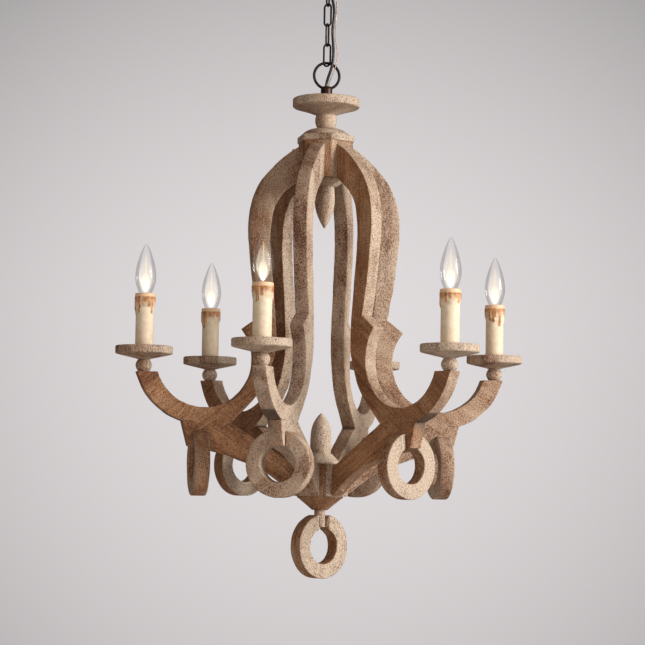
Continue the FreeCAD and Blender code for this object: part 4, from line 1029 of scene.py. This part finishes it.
def add_cap(number, x, y):
    """Bulb cap with four rounds of rolled thread and a solder tip."""
    thread = [(6.1 - 0.45 * math.cos(z * 2 * math.pi / 4.0), z) for z in np.linspace(4.0, 20.0, 41)]
    profile = ([(0.3, 0.0), (2.6, 0.0), (3.1, 0.9), (5.2, 3.0)] + thread
               + [(6.1, 22.0), (7.4, 22.1), (7.6, 22.6), (7.6, 23.6), (7.2, 24.0), (0.3, 24.0)])
    piece = spun("bulb_cap_%d_brass" % number, profile, (x, y, GLASS_LOW - 24.0), 64)
    dress(piece, brass, "bulb_%d" % number, ("bulb_cap_%d" % number,))


# Each shell's radius, lowest point, height and level of warmth.
GLOW_SHELLS = ((13.5, 2.0, 64.0, 0.30), (8.4, 2.6, 40.0, 0.55), (3.9, 3.4, 20.0, 0.95))


def add_flame(number, x, y, seed):
    """Filament and its glow: nested drops low in the bulb and a thin wavering streak above.

    A drop's radius at height z is r sin(pi t)^0.7 (1 - 0.35 t), t = (z - low) / height, and its
    warmth is level sin(pi t^0.7)^0.8. All the drops are one mesh."""
    t = np.linspace(0.01, 0.99, 28)
    fade = np.sin(math.pi * t ** 0.7) ** 0.8
    points, faces, warmth = [], [], []
    for radius, low, height, level in GLOW_SHELLS:
        z = low + height * t
        drop = radius * np.sin(math.pi * t) ** 0.7 * (1 - 0.35 * t)
        wall = np.interp(z, GLASS_OUTLINE[:, 1], GLASS_OUTLINE[:, 0]) - 1.4 - level
        drop = np.clip(drop, 0.2, wall)
        shell = spun("shell", np.stack([drop, z], axis=-1), (x, y, GLASS_LOW), 48)
        faces += [[len(points) + i for i in p.vertices] for p in shell.data.polygons]
        points += [v.co[:] for v in shell.data.vertices]
        warmth += np.repeat(level * fade, 48).tolist()
        bpy.data.objects.remove(shell)
    glow = mesh_piece("bulb_%d_glow" % number, points, faces)
    store(glow, "warmth", warmth)
    dress(glow, bulb_glow, "bulb_%d" % number, ())
    z = np.linspace(30.0, 68.0, 90)
    middle_x, middle_y = x + 0.8 * np.sin(z * 1.1 + seed), y + 0.8 * np.cos(z * 1.3 + seed)
    angle = np.linspace(0, 2 * math.pi, 10, endpoint=False)
    radius = 0.55 * np.sin(math.pi * (z - 29.0) / 40.0) ** 0.5
    grid = np.stack([middle_x[:, None] + radius[:, None] * np.cos(angle),
                     middle_y[:, None] + radius[:, None] * np.sin(angle),
                     GLASS_LOW + z[:, None] + 0 * angle], axis=-1)
    piece = surface("bulb_%d_filament" % number, grid)
    dress(piece, filament, "bulb_%d" % number, ())


for number, (x, y) in enumerate(CANDLE_SPOTS, start=1):
    add_glass(number, x, y)
    add_cap(number, x, y)
    add_flame(number, x, y, number * 1.7)
print("bulbs: 6")

# %% [markdown]
# ## Pieces that keep their CAD shape
#
# The chain, the loops, the canopy, the threaded pipes and the hidden joinery keep the CAD
# model's own shape. Each gets the finish of its material.

# %% Finishes on CAD pieces
KEPT = {
    "ceiling_strap": steel, "hanger_nipple": steel, "hanger_pipe": steel, "lower_rod": steel,
    "candle_nipples": steel, "canopy": bronze, "canopy_collar": bronze, "canopy_loop": bronze,
    "chain_links": bronze, "hanging_loop": bronze, "arm_wires": wire_cover,
    "lamp_sockets": socket_plastic, "hub_dowels": pin_wood, "ring_pins": pin_wood,
}
for name, material in KEPT.items():
    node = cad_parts[name]
    if not node.material_slots:
        node.data.materials.append(material)
    for entry in node.material_slots:
        entry.link = "OBJECT"
        entry.material = material
print("kept:", len(KEPT))

# %% [markdown]
# ## Light, floor and background
#
# A large soft light stands to the right, as in the photograph, a weaker one in front, and the
# surroundings add a weak warm fill. The background is a pale grey that fades from its middle to
# its edges. The floor is a plain grey, below what the photograph's camera sees.

# %% Background
scene = bpy.context.scene
scene.view_settings.view_transform = "Standard"
BACKDROP_MIDDLE = 0.745
BACKDROP_SIDE = 0.13
BACKDROP_TOP = 0.225
BACKDROP_BOTTOM = 0.12
BACKDROP_TINT = (1.0, 0.955, 0.962)
VIEW_HALF = PHOTO_WIDTH / 2 / FOCAL_PX


def backdrop_level(n):
    """How light the background is in a direction: brightest ahead of the camera.

    level = middle - side * across^2 - top * above^1.7 - bottom * below^2. across, above and
    below are shares of half the picture, held to 1 outside it."""
    turned = camera.matrix_world.to_3x3()
    direction = n.add("ShaderNodeTexCoord").outputs["Generated"]

    def along(axis):
        dot = n.add("ShaderNodeVectorMath", operation="DOT_PRODUCT")
        n.feed(dot.inputs[0], direction)
        n.feed(dot.inputs[1], tuple(axis / VIEW_HALF))
        return dot.outputs["Value"]

    up = along(turned.col[1])
    across = n.maths("MINIMUM", n.maths("ABSOLUTE", along(turned.col[0])), 1.0)
    above, below = (n.maths("MAXIMUM", n.maths("MINIMUM", n.maths("MULTIPLY", up, sign), 1.0), 0.0)
                    for sign in (1.0, -1.0))
    loss = n.weighed((n.maths("POWER", across, 2.0), BACKDROP_SIDE),
                     (n.maths("POWER", above, 1.7), BACKDROP_TOP),
                     (n.maths("POWER", below, 2.0), BACKDROP_BOTTOM))
    return n.maths("SUBTRACT", BACKDROP_MIDDLE, loss)


world = bpy.data.worlds.new("studio")
scene.world = world
world.use_nodes = True
studio = Nodes("studio", world.node_tree)
ray = studio.add("ShaderNodeLightPath").outputs
straight = studio.maths("MAXIMUM", ray["Is Camera Ray"], ray["Is Transmission Ray"])
lit = studio.add("ShaderNodeBackground", Color=(1.0, 0.87, 0.77, 1.0), Strength=0.215)
level = backdrop_level(studio)
tint = studio.add("ShaderNodeCombineColor")
for channel, share in zip(tint.inputs, BACKDROP_TINT):
    studio.feed(channel, studio.maths("MULTIPLY", level, share))
seen = studio.add("ShaderNodeBackground", Color=tint.outputs[0])
studio.output(studio.either(straight, lit, seen), "ShaderNodeOutputWorld")
print("background: %d nodes" % len(world.node_tree.nodes))

# %% Lights and floor
MIDDLE = Vector((0.0, 0.0, -0.72))
FLOOR_LEVEL = -2.45
FLOOR_HALF = 12


def add_light(name, place, size, power, colour):
    """Square area light that looks at the middle of the chandelier. Metres and watts."""
    data = bpy.data.lights.new(name, "AREA")
    data.shape = "SQUARE"
    data.size = size
    data.energy = power
    data.color = colour
    lamp = linked(name, data)
    lamp.location = place
    lamp.rotation_euler = (MIDDLE - Vector(place)).to_track_quat("-Z", "Y").to_euler()
    lamp.visible_camera = False


def from_camera(right, away, up):
    """Point given as the camera sees it: metres right of, beyond and above the chandelier."""
    c, s = math.cos(HEADING), math.sin(HEADING)
    return (c * right - s * away, s * right + c * away, up)


add_light("key", from_camera(2.7, -1.4, 0.1), 1.2, 122.0, (1.0, 0.97, 0.93))
add_light("front", from_camera(-0.5, -3.2, -0.9), 2.2, 26.0, (1.0, 0.94, 0.88))

floor_mesh = bpy.data.meshes.new("floor")
floor_mesh.from_pydata([(x * FLOOR_HALF, y * FLOOR_HALF, FLOOR_LEVEL)
                        for x, y in ((-1, -1), (1, -1), (1, 1), (-1, 1))], [], [(0, 1, 2, 3)])
floor = linked("floor", floor_mesh)
n = Nodes("floor_grey")
camera_ray = n.add("ShaderNodeLightPath").outputs["Is Camera Ray"]
plain = n.add("ShaderNodeEmission", Color=(0.60, 0.58, 0.58, 1.0), Strength=1.0)
matt = n.add("ShaderNodeBsdfDiffuse", Color=(0.72, 0.70, 0.69, 1.0))
floor_mesh.materials.append(n.output(n.either(camera_ray, matt, plain)))
print("lights: 2")
